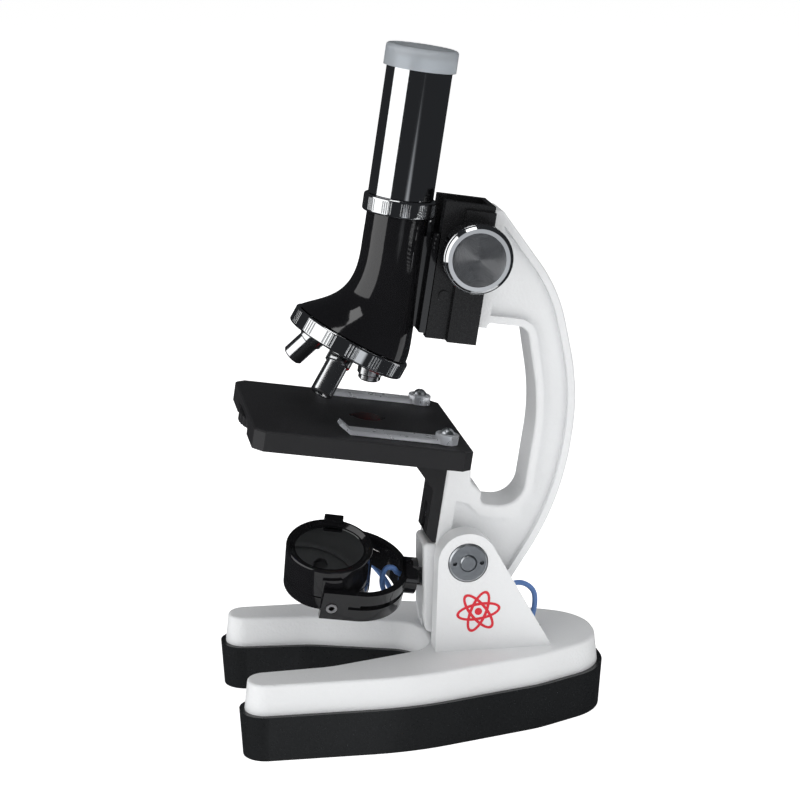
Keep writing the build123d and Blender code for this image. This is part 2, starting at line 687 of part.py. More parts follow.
def stage():
    """Black stage plate with skirts, in one piece with the bracket that hangs under it."""
    half = STAGE_WIDTH / 2
    body = block((-half, half), (STAGE_FRONT, STAGE_BACK), (STAGE_BOTTOM, STAGE_TOP))
    body = chamfer(body.edges().filter_by(Axis.Z), STAGE_CHAMFER)
    body = chamfer(body.faces().sort_by(Axis.Z)[-1].edges(), 0.5)
    inner = half - STAGE_SKIRT
    front = STAGE_FRONT + STAGE_SKIRT
    back = BRACKET_FRONT - 2
    hollow = block((-inner, inner), (front, back), (STAGE_BOTTOM - 1, STAGE_TOP - STAGE_PLATE))
    body -= chamfer(hollow.edges().filter_by(Axis.Z), STAGE_CHAMFER)
    reach = sqrt(WHEEL_RADIUS**2 - (WHEEL_Y - front) ** 2) + 2
    body -= block((-reach, reach), (STAGE_FRONT - 1, front + 1), (STAGE_BOTTOM - 1, WHEEL_TOP + GAP))
    body -= rod_z(LIGHT_HOLE, STAGE_BOTTOM, STAGE_TOP + 1, 0, TUBE_AXIS)
    notch = LIGHT_HOLE + 0.9
    body -= block((-1.3, 1.3), (TUBE_AXIS - notch, TUBE_AXIS + notch), (STAGE_BOTTOM, STAGE_TOP + 1))
    side = BRACKET_WIDTH / 2
    leg = block((-side, side), (BRACKET_FRONT, BLOCK_FRONT), (BRACKET_BOTTOM, STAGE_BOTTOM + 1))
    toe = [e for e in leg.edges().filter_by(Axis.X) if e.center().Z < BRACKET_BOTTOM + 0.1]
    leg = chamfer(sorted(toe, key=lambda e: e.center().Y)[0], 2.4)
    slope = Polyline(
        (BRACKET_FRONT, 20.8), (BRACKET_FRONT - 13, STAGE_BOTTOM),
        (BRACKET_FRONT - 13, STAGE_TOP - STAGE_PLATE + 0.5),
        (BRACKET_FRONT, STAGE_TOP - STAGE_PLATE + 0.5), close=True,
    )
    gusset = side_plate(make_face(slope), -side, side)
    room = WHEEL_RADIUS + 1.0
    gusset -= rod_z(room, 0, STAGE_TOP - STAGE_PLATE, 0, WHEEL_Y)
    body += leg + gusset
    slot_low = slot_middle() - SLOT_LENGTH / 2
    slot_high = slot_low + SLOT_LENGTH
    slot = block((-SLOT_WIDTH / 2, SLOT_WIDTH / 2), (-40, BLOCK_FRONT - 1.4), (slot_low, slot_high))
    narrow = block((-1.7, 1.7), (-40, 0), (slot_low + 1.2, slot_low + SLOT_LENGTH - 1.2))
    body -= slot
    body -= narrow
    for sign in (1, -1):
        body -= rod_z(CLIP_SCREW_RADIUS + SEAT, STAGE_BOTTOM, STAGE_TOP + 1, sign * CLIP_SPREAD, CLIP_BACK)
    boss = rod_z(3.2, WHEEL_TOP, STAGE_TOP - STAGE_PLATE, 0, WHEEL_Y)
    body += boss
    return body - rod_z(RIVET_RADIUS + SEAT, STAGE_BOTTOM - 1, STAGE_TOP - 0.8, 0, WHEEL_Y)


def stage_screw():
    """Screw through the bracket's slot into the arm."""
    z = slot_middle()
    shank = rod_y(STAGE_SCREW_RADIUS, BLOCK_FRONT - 1.4, BLOCK_FRONT + 7, 0, z)
    head = Pos(0, BLOCK_FRONT - 1.4, z) * Rot(90, 0, 0) * pan_head(2.1, 1.9)
    return shank + head


def filter_wheel():
    """Knurled wheel under the stage whose windows turn into the light's path."""
    low = WHEEL_TOP - WHEEL_THICKNESS
    wheel = rod_z(WHEEL_RADIUS, WHEEL_TOP - WHEEL_RIM, WHEEL_TOP, 0, WHEEL_Y)
    wheel -= rod_z(WHEEL_RADIUS - 1.6, WHEEL_TOP - WHEEL_RIM - 1, low, 0, WHEEL_Y)
    for step in range(6):
        x, y = window_place(step)
        radius = WINDOW_RADIUS if step < 5 else WINDOW_RADIUS * 0.5
        wheel -= rod_z(radius, low - 1, WHEEL_TOP + 1, x, y)
        if step < 4:
            wheel -= rod_z(WINDOW_RADIUS + 0.6, low - 1, low + FILTER_THICKNESS, x, y)
    for step in range(WHEEL_FLUTES):
        turn = 2 * pi * step / WHEEL_FLUTES
        x = (WHEEL_RADIUS + 0.2) * sin(turn)
        y = WHEEL_Y + (WHEEL_RADIUS + 0.2) * cos(turn)
        wheel -= rod_z(0.6, WHEEL_TOP - WHEEL_RIM - 1, WHEEL_TOP + 1, x, y)
    return wheel - rod_z(RIVET_RADIUS + RUN, low - 1, WHEEL_TOP + 1, 0, WHEEL_Y)


def window_place(step):
    """Centre of one of the wheel's six windows; the first is in the light's path."""
    turn = radians(60 * step)
    return WHEEL_PITCH * sin(turn), WHEEL_Y + WHEEL_PITCH * cos(turn)


def filter_disc(step):
    """One coloured filter in its window."""
    low = WHEEL_TOP - WHEEL_THICKNESS
    x, y = window_place(step)
    return rod_z(WINDOW_RADIUS + 0.6 - SEAT, low, low + FILTER_THICKNESS, x, y)


def wheel_rivet():
    """Shouldered rivet that the filter wheel turns on."""
    low = WHEEL_TOP - WHEEL_THICKNESS
    shank = rod_z(RIVET_RADIUS, low - 0.2, STAGE_TOP - 0.9, 0, WHEEL_Y)
    return shank + Pos(0, WHEEL_Y, low - 0.2) * Rot(180, 0, 0) * pan_head(3.0, 1.0, 0.01)


def clip(sign):
    """A see-through stage clip: boss, blade and lifted tip."""
    x = sign * CLIP_SPREAD
    low = STAGE_TOP + CLIP_LIFT
    boss = rod_z(CLIP_BOSS_RADIUS, low, low + CLIP_BOSS_HEIGHT, x, CLIP_BACK)
    boss = fillet(boss.edges().filter_by(GeomType.CIRCLE).sort_by(Axis.Z)[-1], 0.5)
    front = CLIP_BACK - CLIP_REACH
    half = CLIP_WIDTH / 2
    blade = block((x - half, x + half), (front, CLIP_BACK), (low, low + CLIP_PLATE))
    tip = Polyline(
        (front + 0.01, low), (front + 0.01, low + CLIP_PLATE), (front - 3.2, low + CLIP_PLATE + 2.2),
        (front - 3.9, low + 2.2 + 0.5), close=True,
    )
    blade += side_plate(make_face(tip), x - half, x + half)
    shape = boss + blade
    return shape - rod_z(CLIP_SCREW_RADIUS + RUN, low - 1, low + CLIP_BOSS_HEIGHT + 1, x, CLIP_BACK)


def clip_screws():
    """Cross-head screws that hold the clips."""
    top = STAGE_TOP + CLIP_LIFT + CLIP_BOSS_HEIGHT + RUN
    screws = []
    for sign in (1, -1):
        x = sign * CLIP_SPREAD
        shank = rod_z(CLIP_SCREW_RADIUS, STAGE_BOTTOM + 1, top, x, CLIP_BACK)
        screws.append(shank + Pos(x, CLIP_BACK, top) * pan_head(2.3, 1.7))
    return Compound(children=screws)


# ---------------------------------------------------------------- focusing slide


def focus_housing():
    """Black housing behind the barrel: a slot for the slide and bearings for the pinion."""
    tall = (HOUSING_BOTTOM, HOUSING_TOP)
    body = block((-HOUSING_HALF, HOUSING_HALF), (HOUSING_FRONT, HOUSING_BACK), tall)
    body += block((-BOX_HALF, BOX_HALF), (BOX_FRONT, HOUSING_BACK), (HOUSING_BOTTOM - 0.3, BOX_TOP))
    low = HOUSING_BOTTOM - 2
    high = HOUSING_TOP + 2
    back = HOUSING_BACK - 2.0
    body -= block((-NECK_HALF - GAP, NECK_HALF + GAP), (HOUSING_FRONT - 1, back), (low, high))
    chamber = TONGUE_HALF + GAP
    body -= block((-chamber, chamber), (HOUSING_FRONT + LIP, back), (low, high))
    body -= rod_x(SHAFT_RADIUS + RUN, -BOX_HALF - 1, BOX_HALF + 1, KNOB_Y, KNOB_Z)
    tip = PITCH_RADIUS + ADDENDUM * GEAR_MODULE + GAP
    body -= rod_x(tip, -GEAR_WIDTH / 2 - GAP, GEAR_WIDTH / 2 + GAP, KNOB_Y, KNOB_Z)
    body += rod_x(1.6, HOUSING_HALF - 1, HOUSING_HALF + 0.8, -20.2, 86.0)
    for z in pad_screw_heights():
        body -= rod_y(STAGE_SCREW_RADIUS + SEAT, back - 1, HOUSING_BACK + 1, 0, z)
    return body


def housing_screws():
    """Screws from inside the housing's back wall into the arm."""
    back = HOUSING_BACK - 2.0
    screws = []
    for z in pad_screw_heights():
        shank = rod_y(STAGE_SCREW_RADIUS, back, HOUSING_BACK + 5, 0, z)
        screws.append(shank + Pos(0, back, z) * Rot(90, 0, 0) * pan_head(2.4, 1.3))
    return Compound(children=screws)


def rack_teeth():
    """Outline of the rack's teeth, seen from the side, in (Y, Z)."""
    pitch = pi * GEAR_MODULE
    flank = tan(radians(PRESSURE_ANGLE))
    crest = RACK_PITCH_Y + ADDENDUM * GEAR_MODULE
    root = RACK_PITCH_Y - DEDENDUM * GEAR_MODULE
    half = pitch / 4 - BACKLASH / 4
    count = int((SLIDE_TOP - SLIDE_BOTTOM) / pitch) - 1
    below = int((KNOB_Z - SLIDE_BOTTOM) / pitch)
    points = [(root - 1.2, KNOB_Z - (below + 0.5) * pitch + 0.1)]
    for step in range(-below, count - below):
        z = KNOB_Z + (step + 0.5) * pitch
        low = half + flank * DEDENDUM * GEAR_MODULE
        high = half - flank * ADDENDUM * GEAR_MODULE
        if z + low > SLIDE_TOP or z - low < SLIDE_BOTTOM:
            continue
        points += [(root, z - low), (crest, z - high), (crest, z + high), (root, z + low)]
    points[0] = (root - 1.2, points[1][1])
    points.append((root - 1.2, points[-1][1]))
    return make_face(Polyline(*points, close=True))


def focus_rack():
    """Toothed rack on the back of the slide's tongue."""
    return side_plate(rack_teeth(), -GEAR_WIDTH / 2, GEAR_WIDTH / 2)


def involute_point(base_radius, radius, sign, half_angle):
    """A point of a tooth's flank at a radius, the tooth being centred on +X."""
    pressure = sqrt(max((radius / base_radius) ** 2 - 1, 0))
    turn = sign * (half_angle - (pressure - atan2(pressure, 1)))
    return radius * cos(turn), radius * sin(turn)


def pinion():
    """Gear on the knobs' shaft, in mesh with the rack."""
    base_radius = PITCH_RADIUS * cos(radians(PRESSURE_ANGLE))
    root = PITCH_RADIUS - DEDENDUM * GEAR_MODULE
    tip = PITCH_RADIUS + ADDENDUM * GEAR_MODULE
    pressure = tan(radians(PRESSURE_ANGLE)) - radians(PRESSURE_ANGLE)
    half_angle = (pi / 2 - BACKLASH / (2 * GEAR_MODULE)) / PINION_TEETH + pressure
    radii = [base_radius + (tip - base_radius) * step / 3 for step in range(4)]
    points = []
    for tooth in range(PINION_TEETH):
        turn = 2 * pi * tooth / PINION_TEETH + pi
        flank = [(root, -half_angle)]
        for radius in radii:
            x, y = involute_point(base_radius, radius, -1, half_angle)
            flank.append((hypot(x, y), atan2(y, x)))
        other = [(radius, -angle) for radius, angle in reversed(flank)]
        for radius, angle in flank + other:
            points.append((radius * cos(angle + turn), radius * sin(angle + turn)))
    outline = make_face(Polyline(*points, close=True))
    gear = side_plate(outline, -GEAR_WIDTH / 2, GEAR_WIDTH / 2)
    gear = Pos(0, KNOB_Y, KNOB_Z) * gear
    return gear - rod_x(SHAFT_RADIUS + SEAT, -GEAR_WIDTH, GEAR_WIDTH, KNOB_Y, KNOB_Z)


def pinion_shaft():
    """Shaft from one focus knob to the other."""
    end = KNOB_FACE - 3.0
    return rod_x(SHAFT_RADIUS, -end, end, KNOB_Y, KNOB_Z)


def focus_knob():
    """Left-hand focus knob: fluted rim, stepped front ring and hub."""
    back = KNOB_FACE - KNOB_DEPTH
    rim = rod_x(KNOB_RADIUS, back, KNOB_FACE - 1.0)
    rim = fillet(rim.edges().filter_by(GeomType.CIRCLE), 0.6)
    for step in range(KNOB_FLUTES):
        turn = 2 * pi * step / KNOB_FLUTES
        radius = KNOB_RADIUS + 0.15
        rim -= rod_x(0.5, back - 1, KNOB_FACE - 1.6, radius * cos(turn), radius * sin(turn))
    lip = rod_x(KNOB_RADIUS - 0.6, KNOB_FACE - 1.5, KNOB_FACE)
    lip = chamfer(lip.edges().filter_by(GeomType.CIRCLE).sort_by(Axis.X)[-1], 0.7)
    knob = rim + lip - rod_x(KNOB_RADIUS - 2.6, KNOB_FACE - 1.0, KNOB_FACE + 1)
    knob += rod_x(5.0, BOX_HALF + 0.4, back + 0.1)
    knob -= rod_x(SHAFT_RADIUS + SEAT, BOX_HALF, KNOB_FACE - 3.0 + SEAT)
    return Pos(0, KNOB_Y, KNOB_Z) * knob


def knob_faces():
    """Spun metal discs let into the knobs' fronts."""
    disc = rod_x(KNOB_RADIUS - 2.6 - SEAT, KNOB_FACE - 1.0, KNOB_FACE - 0.5, KNOB_Y, KNOB_Z)
    return Compound(children=[disc, mirrored(disc)])


def head_slide():
    """Flange and tongue that run in the housing, in one piece with the barrel's back rib."""
    back = HOUSING_FRONT - GAP
    flange = block((-FLANGE_HALF, FLANGE_HALF), (back - FLANGE_THICKNESS, back), (SLIDE_BOTTOM, SLIDE_TOP))
    neck_end = HOUSING_FRONT + LIP + GAP
    neck = block((-NECK_HALF, NECK_HALF), (back, neck_end), (SLIDE_BOTTOM, SLIDE_TOP))
    root = RACK_PITCH_Y - DEDENDUM * GEAR_MODULE - 1.2
    tongue = block((-TONGUE_HALF, TONGUE_HALF), (neck_end, root), (SLIDE_BOTTOM, SLIDE_TOP))
    return flange + neck + tongue


def barrel_sections():
    """Front and back points of the barrel's round sections in (Y, Z), from the top down."""
    front = TUBE_AXIS - BARREL_RADIUS
    back = TUBE_AXIS + BARREL_RADIUS
    lean = radians(TURRET_TILT)
    foot = TURRET_TOP + TURRET_GAP
    centre = (TURRET_Y + foot * sin(lean), TURRET_Z + foot * cos(lean))
    reach = TURRET_RADIUS - 1.0
    foot_front = (centre[0] - reach * cos(lean), centre[1] + reach * sin(lean))
    foot_back = (centre[0] + reach * cos(lean), centre[1] - reach * sin(lean))
    return [
        ((front, 105.0), (back, 105.0)),
        ((front - 0.1, 97.0), (back, 96.0)),
        ((front - 0.7, 90.0), (back + 0.1, 86.0)),
        ((front - 3.4, 83.6), (back + 0.2, 76.5)),
        ((front - 8.6, 79.2), (back + 0.2, 68.6)),
        (foot_front, foot_back),
    ]


def barrel_section(ends):
    """One round section whose diameter runs between two points of the middle plane."""
    (y0, z0), (y1, z1) = ends
    radius = hypot(y1 - y0, z1 - z0) / 2
    plane = Plane(origin=(0, (y0 + y1) / 2, (z0 + z1) / 2), x_dir=(1, 0, 0), z_dir=(0, z0 - z1, y1 - y0))
    return plane * Circle(radius)


def head_barrel():
    """Glossy black barrel that flares out over the turret."""
    sections = barrel_sections()
    flare = loft([barrel_section(ends) for ends in sections])
    neck = rod_z(BARREL_RADIUS, sections[0][0][1] - 0.01, RING_BOTTOM - 0.2, 0, TUBE_AXIS)
    body = flare + neck
    body += rod_z(RING_RADIUS - 1.6, RING_BOTTOM - 0.3, BARREL_TOP, 0, TUBE_AXIS)
    rib_back = HOUSING_FRONT - GAP - FLANGE_THICKNESS
    rib = block((-5.0, 5.0), (TUBE_AXIS + 6, rib_back), (SLIDE_BOTTOM + 1, SLIDE_TOP - 2))
    body += rib
    bore = rod_z(INNER_TUBE_RADIUS + SEAT, 96.0, BARREL_TOP + 1, 0, TUBE_AXIS)
    path = rod_z(6.2, 60.0, 97.0, 0, TUBE_AXIS)
    body -= bore
    body -= path
    lean = Pos(0, TURRET_Y, TURRET_Z) * Rot(-TURRET_TILT, 0, 0)
    foot = TURRET_TOP + TURRET_GAP
    body -= lean * rod_z(TURRET_RADIUS, foot - 14, foot)
    return body - lean * rod_z(AXLE_RADIUS + SEAT, foot - 2, foot + 8)


def inner_tube():
    """Black inner tube that the chrome tube slides on."""
    return ring_z(INNER_TUBE_RADIUS, INNER_TUBE_RADIUS - 1.0, 96.1, INNER_TUBE_TOP, 0, TUBE_AXIS)


def zoom_ring():
    """Chrome ring with groups of grooves round the foot of the tube."""
    top = RING_BOTTOM + RING_HEIGHT
    ring = rod_z(RING_RADIUS, RING_BOTTOM, top, 0, TUBE_AXIS)
    ring = fillet(ring.edges().filter_by(GeomType.CIRCLE), 0.7)
    for group in range(12):
        for groove in range(5):
            turn = radians(30 * group + 3.4 * (groove - 2))
            x = RING_RADIUS * sin(turn)
            y = TUBE_AXIS + RING_RADIUS * cos(turn)
            ring -= rod_z(0.22, RING_BOTTOM + 0.8, top - 0.8, x, y)
    ring -= rod_z(RING_RADIUS - 1.6 + RUN, RING_BOTTOM - 1, BARREL_TOP + GAP, 0, TUBE_AXIS)
    return ring - rod_z(INNER_TUBE_RADIUS + GAP, RING_BOTTOM - 1, top + 1, 0, TUBE_AXIS)


def draw_tube():
    """Chrome tube that slides up on the inner tube and holds the eyepiece."""
    low = RING_BOTTOM + RING_HEIGHT + 0.2
    tube = ring_z(TUBE_RADIUS, INNER_TUBE_RADIUS + RUN, low, TUBE_TOP, 0, TUBE_AXIS)
    return tube


def eyepiece_shell():
    """Black eyepiece pushed into the top of the chrome tube."""
    low = TUBE_TOP - EYEPIECE_DEPTH + 5.0
    inner = INNER_TUBE_RADIUS + RUN - SEAT
    shell = rod_z(inner, low, TUBE_TOP, 0, TUBE_AXIS)
    shell += rod_z(TUBE_RADIUS - 0.3, TUBE_TOP, TUBE_TOP + 0.6, 0, TUBE_AXIS)
    shell -= rod_z(EYE_LENS_RADIUS, low - 1, TUBE_TOP + 2, 0, TUBE_AXIS)
    cup = Pos(0, TUBE_AXIS, TUBE_TOP - 1.4) * Cone(EYE_LENS_RADIUS, 8.4, 2.0, align=STANDING)
    return shell - cup


def lens(radius, crown, z, y=TUBE_AXIS, edge=0.8):
    """A lens that is flat below and domed above, its flat at z."""
    sphere_radius = (radius**2 + crown**2) / (2 * crown)
    dome = Pos(0, y, z + edge + crown - sphere_radius) * Sphere(sphere_radius)
    return (dome & rod_z(radius, z + edge, z + edge + crown + 1, 0, y)) + rod_z(radius, z, z + edge, 0, y)


def eye_lens():
    """Upper lens of the eyepiece."""
    return lens(EYE_LENS_RADIUS - SEAT, 0.9, TUBE_TOP - 4.2)


def field_lens():
    """Lower lens of the eyepiece, held in the inner tube's mouth."""
    return lens(INNER_TUBE_RADIUS - 1.0 - SEAT, 1.4, INNER_TUBE_TOP - 3.0)


def lens_stop():
    """Blackened ring between the eyepiece's lenses."""
    low = TUBE_TOP - EYEPIECE_DEPTH + 5.0
    return ring_z(EYE_LENS_RADIUS - SEAT, 3.0, low, low + 1.2, 0, TUBE_AXIS)


def dust_cap():
    """Frosted cap over the eyepiece."""
    top = CAP_BOTTOM + CAP_HEIGHT
    cap = rod_z(CAP_RADIUS, CAP_BOTTOM, top, 0, TUBE_AXIS)
    cap = fillet(cap.edges().filter_by(GeomType.CIRCLE).sort_by(Axis.Z)[-1], 1.2)
    crown = 1.0
    radius = (CAP_RADIUS**2 + crown**2) / (2 * crown)
    dome = Pos(0, TUBE_AXIS, top + crown - radius - 0.5) * Sphere(radius)
    cap += dome & rod_z(CAP_RADIUS - 1.3, CAP_BOTTOM + 3, top + 2, 0, TUBE_AXIS)
    return cap - rod_z(TUBE_RADIUS + RUN, CAP_BOTTOM - 1, TUBE_TOP + 1.0, 0, TUBE_AXIS)


# ---------------------------------------------------------------- turret


def turret_ring():
    """Chrome grip ring of the turret, in the turret's own frame."""
    ring = rod_z(TURRET_RADIUS, 0, TURRET_HEIGHT)
    ring = fillet(ring.edges().filter_by(GeomType.CIRCLE), 0.8)
    for group in range(15):
        for groove in range(4):
            turn = radians(24 * group + 2.9 * (groove - 1.5))
            x = TURRET_RADIUS * sin(turn)
            y = TURRET_RADIUS * cos(turn)
            ring -= rod_z(0.34, 0.7, TURRET_HEIGHT - 0.7, x, y)
    return ring - rod_z(TURRET_RADIUS - 1.6, -1, TURRET_HEIGHT + 1)


def turret_plate():
    """Plate inside the grip ring that holds the objectives on a cone."""
    plate = rod_z(TURRET_RADIUS - 1.6 - SEAT, 0.6, 0.6 + TURRET_WEB)
    boss_top = TURRET_HEIGHT
    plate += rod_z(4.0, 0.6, boss_top)
    for name in OBJECTIVES:
        pose = objective_pose(name)
        plate -= pose * rod_z(OBJECTIVE_RADIUS - 0.8 + SEAT, -8, 12)
    return plate - rod_z(AXLE_RADIUS + RUN, -3, boss_top + 1)


def objective_pose(name):
    """Where an objective stands in the turret's frame: its mouth on the plate, pointing down."""
    turn = TURRET_TURN + 120 * list(OBJECTIVES).index(name)
    return Rot(0, 0, -turn) * Pos(0, OBJECTIVE_PITCH, 0) * Rot(TURRET_TILT, 0, 0)


def objective(name):
    """One objective's chrome barrel, with its collar and a thread up into the plate."""
    length = OBJECTIVES[name]
    foot = 1.7
    body = rod_z(OBJECTIVE_RADIUS, -length, -foot)
    body = chamfer(body.edges().filter_by(GeomType.CIRCLE).sort_by(Axis.Z)[0], 0.5)
    collar = rod_z(COLLAR_RADIUS, -foot - COLLAR_HEIGHT, -foot + 0.6)
    collar = chamfer(collar.edges().filter_by(GeomType.CIRCLE).sort_by(Axis.Z)[0], 0.4)
    body += collar
    cut = Rot(-TURRET_TILT, 0, 0) * block((-20, 20), (-20, 20), (0.58, 20))
    body = (body + rod_z(COLLAR_RADIUS, -foot, 4)) - cut
    body += rod_z(OBJECTIVE_RADIUS - 0.8, -2, 2.6)
    body -= rod_z(OBJECTIVE_RADIUS - 1.5, -length - 1, 5)
    return objective_pose(name) * body


def objective_lenses():
    """Small front lenses in the three objectives."""
    made = []
    for name, length in OBJECTIVES.items():
        glass = lens(OBJECTIVE_RADIUS - 1.5 - SEAT, 0.5, 0, 0, 0.6)
        made.append(objective_pose(name) * Pos(0, 0, -length + 0.5) * glass)
    return Compound(children=made)


def turret_axle():
    """Shouldered screw that the turret turns on, screwed up into the barrel."""
    head = Pos(0, 0, 0.55) * Rot(180, 0, 0) * pan_head(3.4, 1.2)
    return rod_z(AXLE_RADIUS, 0.55, TURRET_HEIGHT + 7) + head


def click_spring():
    """Leaf spring between barrel and turret that marks the objectives' places."""
    strip = block((-10.5, 10.5), (4.4, 7.0), (TURRET_HEIGHT - 0.5, TURRET_HEIGHT - 0.1))
    return strip


# ---------------------------------------------------------------- lamp


def yoke_outline(half, back, front):
    """A U seen from above, open towards -Y."""
    centre = back - half
    arc = ThreePointArc((half, centre), (0, back), (-half, centre))
    left = Line((-half, centre), (-half, front))
    across = Line((-half, front), (half, front))
    right = Line((half, front), (half, centre))
    edges = [arc, left, across, right]
    return make_face(Curve() + edges)


def yoke():
    """Black fork that holds the lamp, with the hollow stub that it swivels on."""
    front = PIVOT_REACH - 3.4
    outer = extrude(Pos(0, 0, FORK_LOW) * yoke_outline(FORK_HALF, FORK_BACK, front), FORK_HIGH - FORK_LOW)
    inner_half = FORK_HALF - FORK_BAND
    inner = yoke_outline(inner_half, FORK_BACK - FORK_BAND, front - 2)
    band = outer - extrude(Pos(0, 0, FORK_LOW - 1) * inner, FORK_HIGH - FORK_LOW + 2)
    groove_outer = yoke_outline(FORK_HALF + 1, FORK_BACK + 1, front - 5)
    groove_inner = yoke_outline(FORK_HALF - 0.7, FORK_BACK - 0.7, front - 6)
    groove = extrude(Pos(0, 0, -2.6) * groove_outer, 1.9) - extrude(Pos(0, 0, -3) * groove_inner, 3)
    groove &= block((-30, 30), (PIVOT_REACH + 5.5, 0), (-4, 4))
    band -= groove
    along = (FORK_BACK - FORK_HALF + 1, FORK_BACK - 6.5)
    window = block((inner_half - 4, FORK_HALF + 1), along, (-2.6, -0.7))
    band -= window
    band -= mirrored(window)
    hub = rod_y(HUB_RADIUS, FORK_BACK - 1.2, HUB_BACK)
    stub = rod_y(NECK_RADIUS, HUB_BACK - 0.1, -2.0)
    body = band + hub + stub
    body -= rod_y(LEAD_RADIUS + 0.35, FORK_BACK - 5, 0)
    collar_groove = rod_y(NECK_RADIUS + 1, -2.0, -1.0) - rod_y(NECK_RADIUS - 0.6, -3, 0)
    body += rod_y(NECK_RADIUS, -2.2, 0.4) - rod_y(LEAD_RADIUS + 0.35, -3, 1)
    body -= collar_groove
    pivots = rod_x(PIVOT_RADIUS + SEAT, -30, 30, PIVOT_REACH, PIVOT_DROP)
    return body - pivots


def yoke_retainer():
    """Spring ring that keeps the stub in the arm."""
    ring = rod_y(NECK_RADIUS + 1.3, -1.9, -1.1) - rod_y(NECK_RADIUS - 0.6 + SEAT, -3, 0)
    return ring - block((-0.9, 0.9), (-3, 0), (0, 10))


def yoke_pins():
    """Hollow pins through the fork's ends into the lamp; the lead goes in through one of them."""
    outer = FORK_HALF + 0.35
    inner = DRUM_RADIUS - DRUM_WALL - 0.4
    pin = rod_x(PIVOT_RADIUS, inner, outer, PIVOT_REACH, PIVOT_DROP)
    pin -= rod_x(LEAD_RADIUS + SEAT, inner - 1, outer + 1, PIVOT_REACH, PIVOT_DROP)
    return Compound(children=[pin, mirrored(pin)])


def lamp_drum():
    """Black round lamp body, in the lamp's own frame with its pivots along X."""
    low = -DRUM_FALL
    high = DRUM_RISE
    drum = rod_z(DRUM_RADIUS, low, high)
    drum = chamfer(drum.edges().filter_by(GeomType.CIRCLE).sort_by(Axis.Z)[0], 1.6)
    drum -= rod_z(DRUM_RADIUS - DRUM_WALL, low + 1.6, high + 1)
    drum += rod_z(DRUM_RADIUS - DRUM_WALL + 0.1, 4.6, 6.0)
    drum -= rod_z(7.0, low - 1, low + 3)
    drum -= ring_z(DRUM_RADIUS + 1, DRUM_RADIUS - 0.35, 1.0, 1.5)
    for sign in (1, -1):
        wide = (10, 20) if sign > 0 else (-20, -10)
        edge = block(wide, (-3.2, 3.2), (-4, high))
        lug = rod_z(DRUM_RADIUS + LUG_PROUD, -3.6, high - 0.4) & edge
        lug -= rod_z(DRUM_RADIUS - DRUM_WALL, -5, 20)
        drum += lug
    return drum - rod_x(PIVOT_RADIUS + RUN, -20, 20)


def mirror_bezel():
    """Ring round the mirror, with the tab that turns the lamp over."""
    low = DRUM_RISE + SEAT
    high = DRUM_RISE + BEZEL_HEIGHT
    bezel = rod_z(DRUM_RADIUS, low, high)
    bezel = fillet(bezel.edges().filter_by(GeomType.CIRCLE).sort_by(Axis.Z)[-1], 0.8)
    tab = block((-DRUM_RADIUS - 1.0, -MIRROR_RADIUS - 0.2), (-3.2, 3.2), (low, high + 1.0))
    tab = fillet(tab.edges().filter_by(Axis.X), 0.5)
    bezel += Rot(0, 0, -TAB_TURN) * tab
    dish = Pos(0, 0, high - 1.2) * Cone(MIRROR_RADIUS, MIRROR_RADIUS + 1.4, 1.3, align=STANDING)
    bezel -= dish
    bezel -= rod_z(MIRROR_RADIUS - 0.6, low - 1, high + 2)
    return bezel - rod_z(MIRROR_RADIUS + SEAT, low - 1, high - 1.4)


def lamp_mirror():
    """Round mirror under the bezel."""
    return rod_z(MIRROR_RADIUS, DRUM_RISE - 0.4, DRUM_RISE + BEZEL_HEIGHT - 1.4 - SEAT)


def lamp_lens():
    """Frosted window over the light-emitting diode, on the drum's other face."""
    low = -DRUM_FALL
    window = rod_z(7.0 - SEAT, low + 0.3, low + 1.3)
    rim = rod_z(8.2, low + 1.6 + SEAT, low + 2.4)
    return window + rim + rod_z(6.0, low + 1.2, low + 1.7)


def led():
    """The light-emitting diode, pointing at the window."""
    dome = Pos(0, 0, 0.2) * Sphere(1.5)
    return rod_z(1.5, 0.2, 2.6) + (dome & rod_z(2, -3, 0.3)) + rod_z(1.8, 2.4, 3.2)


def led_board():
    """Round circuit board that carries the diode."""
    return rod_z(DRUM_RADIUS - DRUM_WALL - 0.3, 3.2 + SEAT, 4.4)


NODES = {}


def add(name, shape, pose=None):
    """Keeps a piece under its name, placed in the world."""
    NODES[name] = pose * shape if pose is not None else shape


